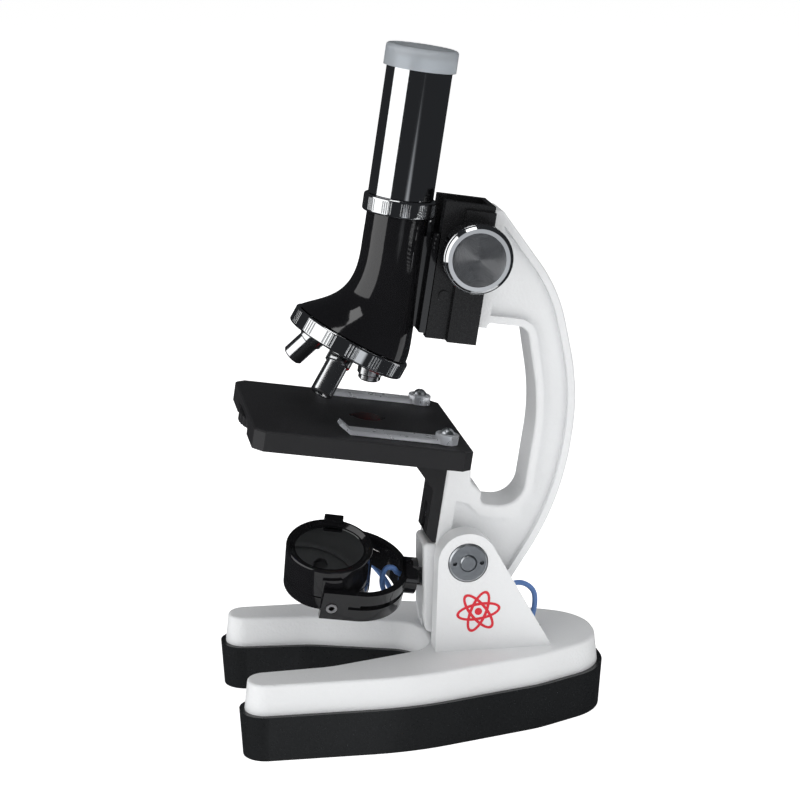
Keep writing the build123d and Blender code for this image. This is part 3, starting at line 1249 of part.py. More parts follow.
def build():
    """Makes every piece."""
    add("base_casting", base_casting())
    add("base_boot", base_boot())
    add("battery_door", battery_door())
    add("battery_door_screw", battery_door_screw())
    add("base_screws", base_screws())
    add("battery_cells", battery_cells())
    add("battery_contacts", battery_contacts())
    add("base_grommet", base_grommet())
    add("hinge_pin", hinge_pin())
    add("hinge_nuts", hinge_nuts())
    add("friction_washers", friction_washers())
    add("arm_casting", arm_casting(), ARM_POSE)
    add("stage", stage(), ARM_POSE)
    add("stage_screw", stage_screw(), ARM_POSE)
    add("filter_wheel", filter_wheel(), ARM_POSE)
    for step, colour in enumerate(("red", "yellow", "green", "blue")):
        add("filter_" + colour, filter_disc(step), ARM_POSE)
    add("filter_wheel_rivet", wheel_rivet(), ARM_POSE)
    add("clip_left", clip(1), ARM_POSE)
    add("clip_right", clip(-1), ARM_POSE)
    add("clip_screws", clip_screws(), ARM_POSE)
    add("focus_housing", focus_housing(), ARM_POSE)
    add("housing_screws", housing_screws(), ARM_POSE)
    add("pinion_shaft", pinion_shaft(), ARM_POSE)
    add("pinion", pinion(), ARM_POSE)
    add("focus_knob_left", focus_knob(), ARM_POSE)
    add("focus_knob_right", mirrored(focus_knob()), ARM_POSE)
    add("knob_faces", knob_faces(), ARM_POSE)
    add("head_slide", head_slide(), ARM_POSE)
    add("focus_rack", focus_rack(), ARM_POSE)
    add("head_barrel", head_barrel(), ARM_POSE)
    add("inner_tube", inner_tube(), ARM_POSE)
    add("field_lens", field_lens(), ARM_POSE)
    add("zoom_ring", zoom_ring(), ARM_POSE)
    add("draw_tube", draw_tube(), ARM_POSE)
    add("eyepiece_shell", eyepiece_shell(), ARM_POSE)
    add("eye_lens", eye_lens(), ARM_POSE)
    add("lens_stop", lens_stop(), ARM_POSE)
    add("dust_cap", dust_cap(), ARM_POSE)
    add("turret_ring", turret_ring(), TURRET_POSE)
    add("turret_plate", turret_plate(), TURRET_POSE)
    add("turret_axle", turret_axle(), TURRET_POSE)
    add("click_spring", click_spring(), TURRET_POSE)
    for name in OBJECTIVES:
        add("objective_" + name, objective(name), TURRET_POSE)
    add("objective_lenses", objective_lenses(), TURRET_POSE)
    add("yoke", yoke(), YOKE_POSE)
    add("yoke_retainer", yoke_retainer(), YOKE_POSE)
    add("yoke_pins", yoke_pins(), YOKE_POSE)
    add("lamp_drum", lamp_drum(), LAMP_POSE)
    add("mirror_bezel", mirror_bezel(), LAMP_POSE)
    add("lamp_mirror", lamp_mirror(), LAMP_POSE)
    add("lamp_lens", lamp_lens(), LAMP_POSE)
    add("led", led(), LAMP_POSE)
    add("led_board", led_board(), LAMP_POSE)
    add("lamp_lead_front", cord_tube(FRONT_ROUTE, "front lead"), YOKE_POSE)
    add("lamp_lead_rear", cord_tube(REAR_ROUTE, "rear lead"), Pos(0, HINGE_BACK, 0))


build()
os.makedirs("parts", exist_ok=True)
for name, shape in NODES.items():
    export_step(shape, "parts/" + name + ".step")
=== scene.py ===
"""Looks of the toy microscope: finishes, leads, ear emblem, studio and camera."""

import logging
import math
from dataclasses import dataclass, field
from enum import Enum
from typing import Any, Iterable, Sequence

import bpy
from mathutils import Euler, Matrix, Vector

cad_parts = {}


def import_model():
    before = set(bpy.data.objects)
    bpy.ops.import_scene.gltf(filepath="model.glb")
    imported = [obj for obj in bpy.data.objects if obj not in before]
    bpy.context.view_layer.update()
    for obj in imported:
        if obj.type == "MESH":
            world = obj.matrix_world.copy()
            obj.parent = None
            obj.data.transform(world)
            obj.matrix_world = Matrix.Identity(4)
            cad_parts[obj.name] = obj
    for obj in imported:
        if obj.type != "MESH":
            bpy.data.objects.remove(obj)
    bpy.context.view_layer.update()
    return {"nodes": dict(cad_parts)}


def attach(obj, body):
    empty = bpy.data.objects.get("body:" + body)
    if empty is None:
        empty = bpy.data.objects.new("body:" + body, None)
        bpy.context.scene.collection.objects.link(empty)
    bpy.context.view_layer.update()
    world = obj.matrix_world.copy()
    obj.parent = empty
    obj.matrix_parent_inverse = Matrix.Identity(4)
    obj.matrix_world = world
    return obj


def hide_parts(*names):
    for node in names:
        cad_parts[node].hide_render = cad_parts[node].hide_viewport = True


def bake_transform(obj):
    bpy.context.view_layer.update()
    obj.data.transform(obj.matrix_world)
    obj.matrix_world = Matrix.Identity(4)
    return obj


LOG = logging.getLogger("microscope")
Triple = tuple[float, float, float]

MM = 0.001
TILT = math.radians(8.6)
HINGE: Triple = (0.0, 14.05, 55.4)
SWIVEL = math.radians(20.5)
STUB_DROP = 11.4
EAR_FACE = 17.1
LEAD_DIAMETER = 1.8

CLOUD_SCALE, CLOUD_DETAIL = 45.0, 4.0
ROUGHNESS_SPREAD = 0.12
COAT_ROUGHNESS = 0.04
EVEN: Triple = (1.0, 1.0, 1.0)


class Body(Enum):
    """Moving bodies that the extra pieces ride on."""

    BASE = "base"
    ARM = "arm"
    YOKE = "yoke"


def from_arm(point: Triple) -> Triple:
    """Turns a point of the arm's frame into the world's frame.

    Args:
        point: Place in the arm's frame, in millimetres.

    Returns:
        The same place in the world's frame, in millimetres.
    """
    x, y, z = point
    across = y * math.cos(TILT) + z * math.sin(TILT) + HINGE[1]
    up = -y * math.sin(TILT) + z * math.cos(TILT) + HINGE[2]
    return x, across, up


def from_yoke(point: Triple) -> Triple:
    """Turns a point of the yoke's frame into the world's frame.

    Args:
        point: Place in the yoke's frame, in millimetres.

    Returns:
        The same place in the world's frame, in millimetres.
    """
    x, y, z = point
    side = x * math.cos(SWIVEL) + z * math.sin(SWIVEL)
    up = -x * math.sin(SWIVEL) + z * math.cos(SWIVEL)
    return from_arm((side, y, up - STUB_DROP))


class Tree:
    """Builds the node tree of one material."""

    def __init__(self, name: str) -> None:
        """Starts a material with one Principled shader.

        Args:
            name: Name of the material.
        """
        self.material: bpy.types.Material = bpy.data.materials.new(name)
        self.material.use_nodes = True
        self.nodes = self.material.node_tree.nodes
        self.links = self.material.node_tree.links
        self.shader = self.nodes["Principled BSDF"]
        self.place = self.nodes.new("ShaderNodeTexCoord").outputs["Object"]

    def set(self, **values: Any) -> None:
        """Sets constant values on the shader's own sockets.

        Args:
            values: Socket names, with _ for a space, and their values.
        """
        for name, value in values.items():
            self.shader.inputs[name.replace("_", " ")].default_value = value

    def feed(self, socket: str, source: bpy.types.NodeSocket) -> None:
        """Links a source to one of the shader's sockets."""
        self.links.new(source, self.shader.inputs[socket])

    def spot(self, scale: Triple, offset: Triple = (0.0, 0.0, 0.0)) -> bpy.types.NodeSocket:
        """Gives the object's own coordinates, moved and then scaled.

        Args:
            scale: Scale along each axis.
            offset: What is added to the place before the scale, in metres.

        Returns:
            A vector socket.
        """
        shift = self.nodes.new("ShaderNodeVectorMath")
        shift.operation = "ADD"
        shift.inputs[1].default_value = offset
        self.links.new(self.place, shift.inputs[0])
        mapping = self.nodes.new("ShaderNodeMapping")
        mapping.inputs["Scale"].default_value = scale
        self.links.new(shift.outputs[0], mapping.inputs["Vector"])
        return mapping.outputs["Vector"]

    def noise(
        self, scale: float, detail: float = 3.0, stretch: Triple = EVEN
    ) -> bpy.types.NodeSocket:
        """Gives a noise value.

        Args:
            scale: Cells to the metre.
            detail: Octaves.
            stretch: Stretch of the pattern along each axis.

        Returns:
            A value socket between 0 and 1.
        """
        texture = self.nodes.new("ShaderNodeTexNoise")
        texture.inputs["Scale"].default_value = scale
        texture.inputs["Detail"].default_value = detail
        self.links.new(self.spot(stretch), texture.inputs["Vector"])
        return texture.outputs["Fac"]

    def between(self, value: bpy.types.NodeSocket, low: float, high: float) -> bpy.types.NodeSocket:
        """Maps a value from its middle range to a range of its own.

        Args:
            value: A value socket.
            low: What 0.3 becomes.
            high: What 0.7 becomes.

        Returns:
            The new value socket.
        """
        mapped = self.nodes.new("ShaderNodeMapRange")
        mapped.inputs["From Min"].default_value = 0.3
        mapped.inputs["From Max"].default_value = 0.7
        mapped.inputs["To Min"].default_value = low
        mapped.inputs["To Max"].default_value = high
        self.links.new(value, mapped.inputs["Value"])
        return mapped.outputs["Result"]

    def blend(
        self, value: bpy.types.NodeSocket, dark: Triple, light: Triple
    ) -> bpy.types.NodeSocket:
        """Mixes two colours by a value.

        Args:
            value: A value socket.
            dark: Colour at the low end.
            light: Colour at the high end.

        Returns:
            A colour socket.
        """
        ramp = self.nodes.new("ShaderNodeValToRGB")
        ramp.color_ramp.elements[0].position = 0.3
        ramp.color_ramp.elements[1].position = 0.7
        ramp.color_ramp.elements[0].color = (*dark, 1.0)
        ramp.color_ramp.elements[1].color = (*light, 1.0)
        self.links.new(value, ramp.inputs["Fac"])
        return ramp.outputs["Color"]

    def relief(self, height: bpy.types.NodeSocket, strength: float, depth: float) -> None:
        """Adds a bump to the surface, on top of any that it has.

        Args:
            height: A value socket.
            strength: How strong the bump is, from 0 to 1.
            depth: Depth of the relief in metres.
        """
        bump = self.nodes.new("ShaderNodeBump")
        bump.inputs["Strength"].default_value = strength
        bump.inputs["Distance"].default_value = depth
        self.links.new(height, bump.inputs["Height"])
        earlier = self.shader.inputs["Normal"].links
        if earlier:
            self.links.new(earlier[0].from_socket, bump.inputs["Normal"])
        self.links.new(bump.outputs["Normal"], self.shader.inputs["Normal"])


@dataclass(frozen=True)
class Finish:
    """A surface finish with a fine grain."""

    name: str
    colour: Triple
    roughness: float = 0.4
    variation: float = 0.06
    grain: float = 1500.0
    grain_depth: float = 0.00002
    coat: float = 0.0

    def tree(self) -> Tree:
        """Makes the finish's node tree.

        Returns:
            The tree, with colour, roughness and grain set.
        """
        tree = Tree(self.name)
        cloud = tree.noise(CLOUD_SCALE, CLOUD_DETAIL)
        dark = tuple(channel * (1.0 - self.variation) for channel in self.colour)
        light = tuple(min(1.0, channel * (1.0 + self.variation)) for channel in self.colour)
        tree.feed("Base Color", tree.blend(cloud, dark, light))
        fine = tree.noise(self.grain, 2.0)
        spread = ROUGHNESS_SPREAD * self.roughness
        tree.feed("Roughness", tree.between(fine, self.roughness - spread, self.roughness + spread))
        tree.set(Coat_Weight=self.coat, Coat_Roughness=COAT_ROUGHNESS)
        if self.grain_depth:
            tree.relief(fine, 0.5, self.grain_depth)
        return tree

    def dress(self, names: Iterable[str], nodes: dict[str, bpy.types.Object]) -> None:
        """Gives the finish to CAD pieces.

        Args:
            names: Names of the pieces.
            nodes: Every CAD piece by name.
        """
        material = self.tree().material
        for name in names:
            nodes[name].data.materials.clear()
            nodes[name].data.materials.append(material)
            LOG.info("%s: %s", name, self.name)


@dataclass(frozen=True)
class CastPaint(Finish):
    """Satin paint on a sand-cast surface, with a pebbled skin."""

    pebble: float = 1100.0
    pebble_depth: float = 0.0001

    def tree(self) -> Tree:
        """Makes the paint's node tree, with pebbles over the grain."""
        tree = super().tree()
        cell = tree.nodes.new("ShaderNodeTexVoronoi")
        cell.inputs["Scale"].default_value = self.pebble
        tree.links.new(tree.spot(EVEN), cell.inputs["Vector"])
        tree.relief(cell.outputs["Distance"], 0.8, self.pebble_depth)
        tree.set(Specular_IOR_Level=0.4)
        return tree


@dataclass(frozen=True)
class Metal(Finish):
    """Bare or plated metal, with faint scratches along one axis."""

    scratch: Triple = (1.0, 1.0, 0.05)
    scratch_scale: float = 2600.0
    scratch_depth: float = 0.00001

    def tree(self) -> Tree:
        """Makes the metal's node tree."""
        tree = super().tree()
        tree.set(Metallic=1.0)
        tree.relief(tree.noise(self.scratch_scale, 2.0, self.scratch), 0.05, self.scratch_depth)
        return tree


@dataclass(frozen=True)
class SpunMetal(Finish):
    """Metal turned on a lathe about X, with fine rings."""

    axle: Triple = (0.0, 0.0, 0.0)
    rings: float = 620.0
    ring_depth: float = 0.00006

    def tree(self) -> Tree:
        """Makes the node tree of the spun metal, with rings round the axle."""
        tree = super().tree()
        wave = tree.nodes.new("ShaderNodeTexWave")
        wave.wave_type = "RINGS"
        wave.rings_direction = "X"
        wave.inputs["Scale"].default_value = self.rings
        wave.inputs["Distortion"].default_value = 0.0
        away = tuple(-value for value in self.axle)
        tree.links.new(tree.spot(EVEN, away), wave.inputs["Vector"])
        tree.relief(wave.outputs["Fac"], 0.6, self.ring_depth)
        turn = tree.nodes.new("ShaderNodeTangent")
        turn.direction_type = "RADIAL"
        turn.axis = "X"
        tree.feed("Tangent", turn.outputs["Tangent"])
        tree.set(Metallic=1.0, Anisotropic=0.85, Anisotropic_Rotation=0.25)
        return tree


@dataclass(frozen=True)
class ClearPlastic(Finish):
    """See-through or frosted moulding."""

    clearness: float = 0.9
    ior: float = 1.49

    def tree(self) -> Tree:
        """Makes the node tree of the moulding."""
        tree = super().tree()
        tree.set(Transmission_Weight=self.clearness, IOR=self.ior)
        return tree


WHITE = CastPaint("white cast paint", (0.80, 0.81, 0.82), 0.42, 0.015, 1900.0, 0.00003)
BOOT_BLACK = Finish("boot black", (0.012, 0.013, 0.014), 0.3, 0.1, 1300.0, 0.00002)
STAGE_BLACK = Finish("stage black", (0.02, 0.02, 0.022), 0.5, 0.1, 2400.0, 0.00004)
HOUSING_BLACK = Finish("housing black", (0.013, 0.013, 0.014), 0.28, 0.1, 1200.0, 0.00001)
GLOSS_BLACK = Finish("gloss black", (0.008, 0.008, 0.009), 0.09, 0.1, 300.0, 0.0, 0.6)
CHROME = Metal("chrome", (0.82, 0.83, 0.84), 0.06, 0.01, 400.0, 0.0)
OBJECTIVE_CHROME = Metal("objective chrome", (0.78, 0.79, 0.80), 0.14, 0.01, 500.0, 0.0)
ZINC = Metal("zinc", (0.66, 0.69, 0.72), 0.36, 0.08, 900.0, 0.00001)
STEEL = Metal("bare steel", (0.56, 0.56, 0.57), 0.35, 0.06, 900.0, 0.00001)
BRASS = Metal("brass", (0.68, 0.5, 0.2), 0.3, 0.05, 900.0, 0.00001)
NYLON = Finish("nylon", (0.6, 0.58, 0.52), 0.5)
SEAL = Finish("black rubber", (0.015, 0.015, 0.016), 0.6, 0.1)
SMOKE = ClearPlastic("smoky plastic", (0.80, 0.82, 0.86), 0.3, 0.02, 500.0, 0.0, 0.3, 0.72, 1.42)
FROST = ClearPlastic("frosted cap", (0.66, 0.70, 0.74), 0.34, 0.05, 1200.0, 0.00001, 0.2, 0.62, 1.4)
LENS = ClearPlastic("lens", (0.96, 0.98, 0.98), 0.02, 0.0, 300.0, 0.0, 0.3, 1.0, 1.52)
WINDOW = ClearPlastic("frosted window", (0.85, 0.86, 0.86), 0.5, 0.02, 900.0, 0.00001, 0.0, 0.6)
MIRROR = Metal("silvered mirror", (0.86, 0.89, 0.87), 0.02, 0.01, 300.0, 0.0)
DIODE = ClearPlastic("diode", (0.92, 0.92, 0.85), 0.05, 0.02, 300.0, 0.0, 0.0, 0.7)
BOARD = Finish("circuit board", (0.03, 0.16, 0.06), 0.35, 0.2, 600.0)
JACKET = Finish("cell jacket", (0.2, 0.22, 0.25), 0.2, 0.1, 400.0, 0.0, 0.4)
CORD_BLUE = Finish("blue insulation", (0.13, 0.25, 0.56), 0.38, 0.08, 2200.0, 0.00003)
EMBLEM_RED = Finish("red print", (0.72, 0.012, 0.03), 0.4, 0.04, 1800.0, 0.0)


@dataclass
class Filters:
    """The filter wheel and its coloured discs."""

    tints: dict[str, Triple] = field(
        default_factory=lambda: {
            "red": (0.75, 0.01, 0.01),
            "yellow": (0.9, 0.65, 0.02),
            "green": (0.02, 0.5, 0.08),
            "blue": (0.02, 0.1, 0.75),
        }
    )

    def dress(self, nodes: dict[str, bpy.types.Object]) -> None:
        """Finishes the wheel and each disc.

        Args:
            nodes: Every CAD piece by name.
        """
        STAGE_BLACK.dress(["filter_wheel"], nodes)
        for colour, tint in self.tints.items():
            film = ClearPlastic(colour + " filter film", tint, 0.1, 0.04, 400.0, 0.0, 0.0, 0.8)
            film.dress(["filter_" + colour], nodes)


@dataclass
class Base:
    """The horseshoe base with its hinge and battery bay."""

    def dress(self, nodes: dict[str, bpy.types.Object]) -> None:
        """Finishes the base's pieces.

        Args:
            nodes: Every CAD piece by name.
        """
        WHITE.dress(["base_casting", "arm_casting"], nodes)
        BOOT_BLACK.dress(["base_boot", "battery_door"], nodes)
        ZINC.dress(["hinge_pin", "hinge_nuts", "base_screws", "battery_door_screw"], nodes)
        STEEL.dress(["battery_contacts"], nodes)
        NYLON.dress(["friction_washers"], nodes)
        JACKET.dress(["battery_cells"], nodes)
        SEAL.dress(["base_grommet"], nodes)


@dataclass
class Emblem:
    """A plain printed atom sign on the base's left-hand ear."""

    centre: Triple = (EAR_FACE, 17.6, 38.4)
    reach: float = 7.0
    flatness: float = 0.36
    line: float = 0.95
    nucleus: float = 1.25
    nucleus_steps: int = 32
    thickness: float = 0.06
    sunk: float = 0.8
    rise: float = 0.35
    lean: float = math.radians(8)
    orbits: int = 3
    steps: int = 64

    def ribbon(self, orbit: int) -> tuple[list[Vector], list[tuple[int, int, int, int]]]:
        """Makes one orbit as a flat closed band, each a little prouder than the one before.

        Args:
            orbit: Which orbit, counted from 0.

        Returns:
            The band's points and faces.
        """
        points: list[Vector] = []
        turn = math.pi * orbit / self.orbits + self.lean
        proud = self.thickness * (1.0 + self.rise * orbit)
        for step in range(self.steps):
            angle = 2 * math.pi * step / self.steps
            for side in (-0.5, 0.5):
                wide = self.reach + side * self.line
                tall = self.reach * self.flatness + side * self.line
                y, z = wide * math.cos(angle), tall * math.sin(angle)
                across = y * math.cos(turn) - z * math.sin(turn)
                up = y * math.sin(turn) + z * math.cos(turn)
                points.append(self.point(across, up, proud))
        count = len(points)
        faces = [(i, (i + 1), (i + 3) % count, (i + 2) % count) for i in range(0, count, 2)]
        return points, faces

    def point(self, across: float, up: float, proud: float) -> Vector:
        """Gives a place on the ear's face, in metres."""
        x, y, z = self.centre
        return Vector((x + proud, y + across, z + up)) * MM

    def build(self) -> bpy.types.Object:
        """Makes the emblem's mesh.

        Returns:
            The emblem, riding on the base.
        """
        points: list[Vector] = []
        faces: list[tuple[int, ...]] = []
        for orbit in range(self.orbits):
            band, quads = self.ribbon(orbit)
            faces += [tuple(index + len(points) for index in quad) for quad in quads]
            points += band
        first = len(points)
        for step in range(self.nucleus_steps):
            angle = 2 * math.pi * step / self.nucleus_steps
            across, up = self.nucleus * math.cos(angle), self.nucleus * math.sin(angle)
            points.append(self.point(across, up, self.thickness))
        faces.append(tuple(range(first, first + self.nucleus_steps)))
        mesh = bpy.data.meshes.new("ear_emblem")
        mesh.from_pydata(points, [], faces)
        piece = bpy.data.objects.new("ear_emblem", mesh)
        bpy.context.scene.collection.objects.link(piece)
        solid = piece.modifiers.new("print", "SOLIDIFY")
        solid.thickness = self.thickness * MM * self.sunk
        mesh.materials.append(EMBLEM_RED.tree().material)
        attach(piece, Body.BASE.value)
        return piece


@dataclass
class Arm:
    """The arm's stage, clips and screws."""

    def dress(self, nodes: dict[str, bpy.types.Object]) -> None:
        """Finishes what the arm carries below the head.

        Args:
            nodes: Every CAD piece by name.
        """
        STAGE_BLACK.dress(["stage"], nodes)
        SMOKE.dress(["clip_left", "clip_right"], nodes)
        ZINC.dress(["clip_screws", "stage_screw", "filter_wheel_rivet", "housing_screws"], nodes)


@dataclass
class Focus:
    """The housing, slide, gear and knobs."""

    axle: Triple = from_arm((0.0, -13.3, 100.8))

    def dress(self, nodes: dict[str, bpy.types.Object]) -> None:
        """Finishes the focusing drive.

        Args:
            nodes: Every CAD piece by name.
        """
        HOUSING_BLACK.dress(["focus_housing"], nodes)
        GLOSS_BLACK.dress(["head_slide", "focus_rack"], nodes)
        CHROME.dress(["focus_knob_left", "focus_knob_right"], nodes)
        axle = tuple(value * MM for value in self.axle)
        spun = SpunMetal("spun knob face", (0.78, 0.79, 0.81), 0.5, 0.02, 900.0, 0.0, 0.0, axle)
        spun.dress(["knob_faces"], nodes)
        STEEL.dress(["pinion_shaft"], nodes)
        BRASS.dress(["pinion"], nodes)


@dataclass
class Head:
    """Barrel, tubes, eyepiece, cap and turret."""

    def dress(self, nodes: dict[str, bpy.types.Object]) -> None:
        """Finishes the optical head.

        Args:
            nodes: Every CAD piece by name.
        """
        GLOSS_BLACK.dress(["head_barrel"], nodes)
        CHROME.dress(["zoom_ring", "draw_tube", "turret_ring"], nodes)
        OBJECTIVE_CHROME.dress(["objective_low", "objective_mid", "objective_high"], nodes)
        HOUSING_BLACK.dress(["inner_tube", "eyepiece_shell", "lens_stop", "turret_plate"], nodes)
        LENS.dress(["eye_lens", "field_lens", "objective_lenses"], nodes)
        STEEL.dress(["turret_axle", "click_spring"], nodes)
        FROST.dress(["dust_cap"], nodes)


@dataclass
class Lamp:
    """The fork and the flip-over lamp."""

    def dress(self, nodes: dict[str, bpy.types.Object]) -> None:
        """Finishes the lamp's pieces.

        Args:
            nodes: Every CAD piece by name.
        """
        GLOSS_BLACK.dress(["yoke", "lamp_drum", "mirror_bezel"], nodes)
        STEEL.dress(["yoke_pins", "yoke_retainer"], nodes)
        MIRROR.dress(["lamp_mirror"], nodes)
        WINDOW.dress(["lamp_lens"], nodes)
        DIODE.dress(["led"], nodes)
        BOARD.dress(["led_board"], nodes)


@dataclass
class Lead:
    """One stretch of the lamp's blue lead."""

    name: str
    node: str
    route: Sequence[Triple]
    length: float
    sides: int = 16

    def spine(self) -> bpy.types.Object:
        """Makes the lead's line as one smooth spline.

        Returns:
            A curve object with no thickness.
        """
        curve = bpy.data.curves.new(self.name + "_line", "CURVE")
        curve.dimensions = "3D"
        curve.resolution_u = 10
        spline = curve.splines.new("NURBS")
        spline.points.add(len(self.route) - 1)
        for control, place in zip(spline.points, self.route):
            control.co = (*(Vector(place) * MM), 1.0)
        spline.order_u = 3
        spline.use_endpoint_u = True
        line = bpy.data.objects.new(self.name + "_line", curve)
        bpy.context.scene.collection.objects.link(line)
        return line

    def build(self) -> tuple[bpy.types.Object, list[Vector]]:
        """Makes the lead as a round tube along its line.

        Returns:
            The tube and the points that it follows.
        """
        line = self.spine()
        bpy.context.view_layer.update()
        depsgraph = bpy.context.evaluated_depsgraph_get()
        flat = bpy.data.meshes.new_from_object(line.evaluated_get(depsgraph))
        path = [vertex.co.copy() for vertex in flat.vertices]
        bpy.data.objects.remove(line)
        radius = LEAD_DIAMETER * MM / 2
        points: list[Vector] = []
        faces: list[tuple[int, ...]] = []
        side = Vector((1.0, 0.0, 0.0))
        for index, place in enumerate(path):
            ahead = path[min(index + 1, len(path) - 1)] - path[max(index - 1, 0)]
            ahead.normalize()
            side = (side - ahead * side.dot(ahead)).normalized()
            other = ahead.cross(side)
            for step in range(self.sides):
                angle = 2 * math.pi * step / self.sides
                points.append(place + (side * math.cos(angle) + other * math.sin(angle)) * radius)
        for index in range(len(path) - 1):
            for step in range(self.sides):
                following = (step + 1) % self.sides
                a, b = index * self.sides, (index + 1) * self.sides
                faces.append((a + step, a + following, b + following, b + step))
        faces.append(tuple(reversed(range(self.sides))))
        faces.append(tuple(range(len(points) - self.sides, len(points))))
        mesh = bpy.data.meshes.new(self.name)
        mesh.from_pydata(points, [], faces)
        mesh.shade_smooth()
        mesh.materials.append(CORD_BLUE.tree().material)
        piece = bpy.data.objects.new(self.name, mesh)
        bpy.context.scene.collection.objects.link(piece)
        return piece, path

    def declare(self, path: list[Vector]) -> None:
        """Hides the CAD piece that the lead stands for and logs the lead's name and how many points
        it follows.

        Args:
            path: The points that it follows.
        """
        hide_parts(self.node)
        LOG.info("%s along %d points", self.name, len(path))


@dataclass
class Leads:
    """The lead from the lamp's pivot through the hollow stub to the base."""

    front: Sequence[Triple] = (
        (-13.2, -42.6, -2.6),
        (-20.0, -42.6, -2.6),
        (-20.8, -38.0, -3.4),
        (-19.8, -31.4, -5.6),
        (-16.8, -25.4, -8.8),
        (-11.8, -20.8, -10.8),
        (-6.0, -18.4, -11.6),
        (-0.6, -18.6, -11.2),
        (2.6, -19.4, -9.2),
        (2.6, -22.4, -6.6),
        (1.8, -24.2, -3.2),
        (0.8, -24.4, 0.4),
        (0.4, -23.4, 3.0),
        (0.2, -20.6, 2.6),
        (0.0, -19.6, 0.3),
        (0.0, -14.2, -0.15),
        (0.0, -8.0, 0.0),
    )
    rear: Sequence[Triple] = (
        (0.0, -9.6, 45.33),
        (0.0, 0.2, 43.85),
        (0.0, 6.2, 40.9),
        (0.0, 11.4, 39.6),
        (0.0, 16.6, 40.9),
        (0.0, 21.6, 42.2),
        (0.0, 26.2, 39.0),
        (0.0, 26.6, 33.8),
        (0.0, 25.4, 28.6),
        (0.0, 25.4, 21.5),
    )

    def build(self) -> None:
        """Makes both stretches; the front one rides on the yoke, the rear one stays fixed where it
        is built.
        """
        places = [from_yoke(place) for place in self.front]
        front = Lead("lead_front", "lamp_lead_front", places, 0.0777)
        piece, path = front.build()
        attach(piece, Body.YOKE.value)
        front.declare(path)
        places = [(x, y + HINGE[1], z) for x, y, z in self.rear]
        rear = Lead("lead_rear", "lamp_lead_rear", places, 0.0549)
        piece, path = rear.build()
        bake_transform(piece)
        rear.declare(path)


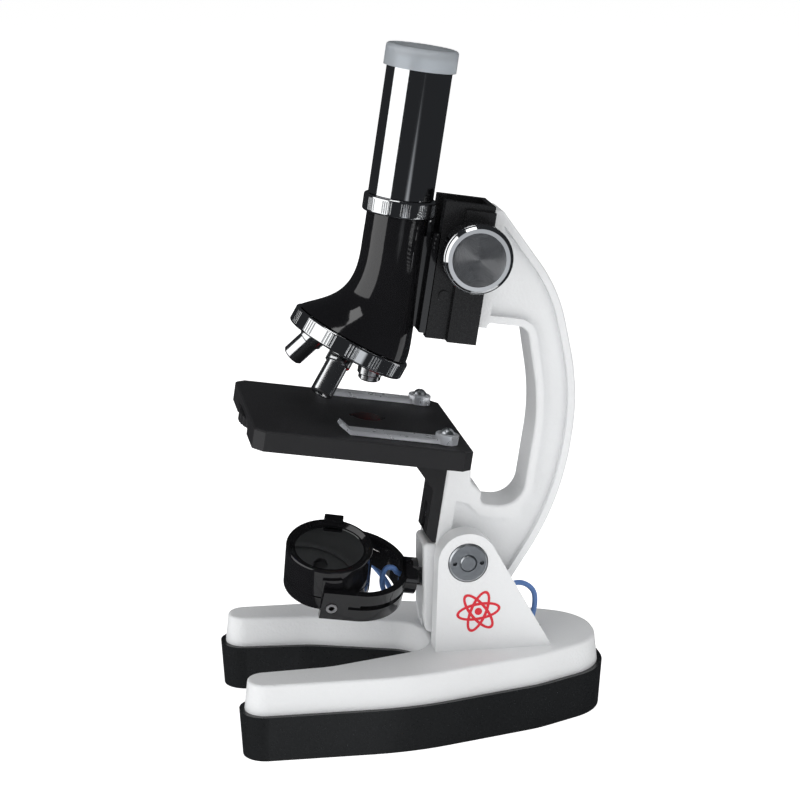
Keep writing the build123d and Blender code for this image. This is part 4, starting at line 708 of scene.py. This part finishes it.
@dataclass
class Studio:
    """Floor, backdrop light, softboxes and camera."""

    eye: Triple = (0.7348, -0.12785, 0.300)
    aim: Triple = (0.0, -0.00575, 0.107)
    lens: float = 105.68
    floor_size: float = 6.0
    floor_glow: float = 0.78
    sky_fill: float = 0.28
    card_side: Triple = (0.93, 0.15, -0.33)
    card_angle: float = math.radians(9)

    def turned(self, place: Triple, aim: Triple) -> Euler:
        """Gives the turn that points a light or camera from a place at an aim."""
        return (Vector(aim) - Vector(place)).to_track_quat("-Z", "Y").to_euler()

    def floor(self) -> None:
        """Makes the pale floor."""
        half = self.floor_size / 2
        mesh = bpy.data.meshes.new("floor")
        corners = [(-half, -half, 0), (half, -half, 0), (half, half, 0), (-half, half, 0)]
        mesh.from_pydata(corners, [], [(0, 1, 2, 3)])
        piece = bpy.data.objects.new("floor", mesh)
        bpy.context.scene.collection.objects.link(piece)
        tree = Finish("pale floor", (0.93, 0.93, 0.93), 0.9, 0.002, 300.0, 0.0).tree()
        tree.set(Emission_Color=(1.0, 1.0, 1.0, 1.0), Emission_Strength=self.floor_glow)
        tree.set(Specular_IOR_Level=0.0)
        mesh.materials.append(tree.material)
        piece.visible_glossy = False

    def softbox(
        self,
        name: str,
        place: Triple,
        aim: Triple,
        size: tuple[float, float],
        power: float,
        seen: bool = True,
    ) -> None:
        """Hangs one rectangular softbox.

        Args:
            name: Name of the light.
            place: Where it hangs, in metres.
            aim: What it points at, in metres.
            size: Width and height in metres.
            power: Power in watts.
            seen: Whether shiny surfaces reflect it.
        """
        light = bpy.data.lights.new(name, "AREA")
        light.shape = "RECTANGLE"
        light.size, light.size_y = size
        light.energy = power
        lamp = bpy.data.objects.new(name, light)
        lamp.location = place
        lamp.rotation_euler = self.turned(place, aim)
        lamp.visible_camera = False
        lamp.visible_glossy = seen
        bpy.context.scene.collection.objects.link(lamp)

    def sky(self) -> None:
        """Makes the surroundings: white to the eye, dim in reflections except low down."""
        world = bpy.data.worlds.new("studio")
        bpy.context.scene.world = world
        world.use_nodes = True
        nodes, links = world.node_tree.nodes, world.node_tree.links
        nodes.clear()
        output = nodes.new("ShaderNodeOutputWorld")
        shown = nodes.new("ShaderNodeBackground")
        shown.inputs["Color"].default_value = (1.0, 1.0, 1.0, 1.0)
        shown.inputs["Strength"].default_value = 1.0
        mirrored = nodes.new("ShaderNodeBackground")
        links.new(self.card(nodes, links), mirrored.inputs["Color"])
        diffuse = nodes.new("ShaderNodeBackground")
        diffuse.inputs["Strength"].default_value = self.sky_fill
        rays = nodes.new("ShaderNodeLightPath")
        first = nodes.new("ShaderNodeMixShader")
        second = nodes.new("ShaderNodeMixShader")
        links.new(rays.outputs["Is Glossy Ray"], first.inputs["Fac"])
        links.new(diffuse.outputs[0], first.inputs[1])
        links.new(mirrored.outputs[0], first.inputs[2])
        links.new(rays.outputs["Is Camera Ray"], second.inputs["Fac"])
        links.new(first.outputs[0], second.inputs[1])
        links.new(shown.outputs[0], second.inputs[2])
        links.new(second.outputs[0], output.inputs["Surface"])

    def card(self, nodes: bpy.types.Nodes, links: bpy.types.NodeLinks) -> bpy.types.NodeSocket:
        """Makes the dark surroundings that metal shows, with one pale card low in front.

        Args:
            nodes: The world's nodes.
            links: The world's links.

        Returns:
            A colour socket.
        """
        towards = Vector(self.card_side).normalized()
        place = nodes.new("ShaderNodeTexCoord")
        facing = nodes.new("ShaderNodeVectorMath")
        facing.operation = "DOT_PRODUCT"
        facing.inputs[1].default_value = towards
        links.new(place.outputs["Generated"], facing.inputs[0])
        ramp = nodes.new("ShaderNodeValToRGB")
        ramp.color_ramp.elements[0].position = math.cos(self.card_angle * 1.4)
        ramp.color_ramp.elements[1].position = math.cos(self.card_angle * 0.8)
        ramp.color_ramp.elements[0].color = (0.02, 0.021, 0.023, 1.0)
        ramp.color_ramp.elements[1].color = (0.62, 0.64, 0.67, 1.0)
        links.new(facing.outputs["Value"], ramp.inputs["Fac"])
        return ramp.outputs["Color"]

    def camera(self) -> None:
        """Sets the camera up."""
        data = bpy.data.cameras.new("camera")
        data.lens = self.lens
        data.sensor_width = 36.0
        data.clip_start = 0.01
        camera = bpy.data.objects.new("camera", data)
        camera.location = self.eye
        camera.rotation_euler = self.turned(self.eye, self.aim)
        bpy.context.scene.collection.objects.link(camera)
        bpy.context.scene.camera = camera

    def build(self) -> None:
        """Builds the whole studio."""
        self.camera()
        self.floor()
        self.sky()
        middle = (0.0, 0.0, 0.1)
        self.softbox("key", (0.25, -0.87, 0.42), middle, (1.1, 1.1), 5.0)
        self.softbox("window", (0.25, -0.1, 1.1), middle, (0.35, 0.35), 0.8)
        self.softbox("top", (0.05, 0.1, 1.1), middle, (0.8, 0.8), 1.9, False)
        self.softbox("front", (0.95, 0.25, 0.45), middle, (0.9, 0.9), 2.6, False)
        self.softbox("back", (-0.75, 0.45, 0.6), middle, (0.7, 0.7), 1.6, False)
        bpy.context.scene.view_settings.view_transform = "Standard"


def main() -> None:
    """Builds the microscope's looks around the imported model."""
    logging.basicConfig(level=logging.INFO, format="%(message)s")
    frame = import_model()
    nodes = frame["nodes"]
    studio = Studio()
    studio.build()
    Leads().build()
    for assembly in (Base(), Arm(), Filters(), Focus(), Head(), Lamp()):
        assembly.dress(nodes)
    Emblem().build()
    LOG.info("sizes written")


if __name__ == "__main__":
    main()
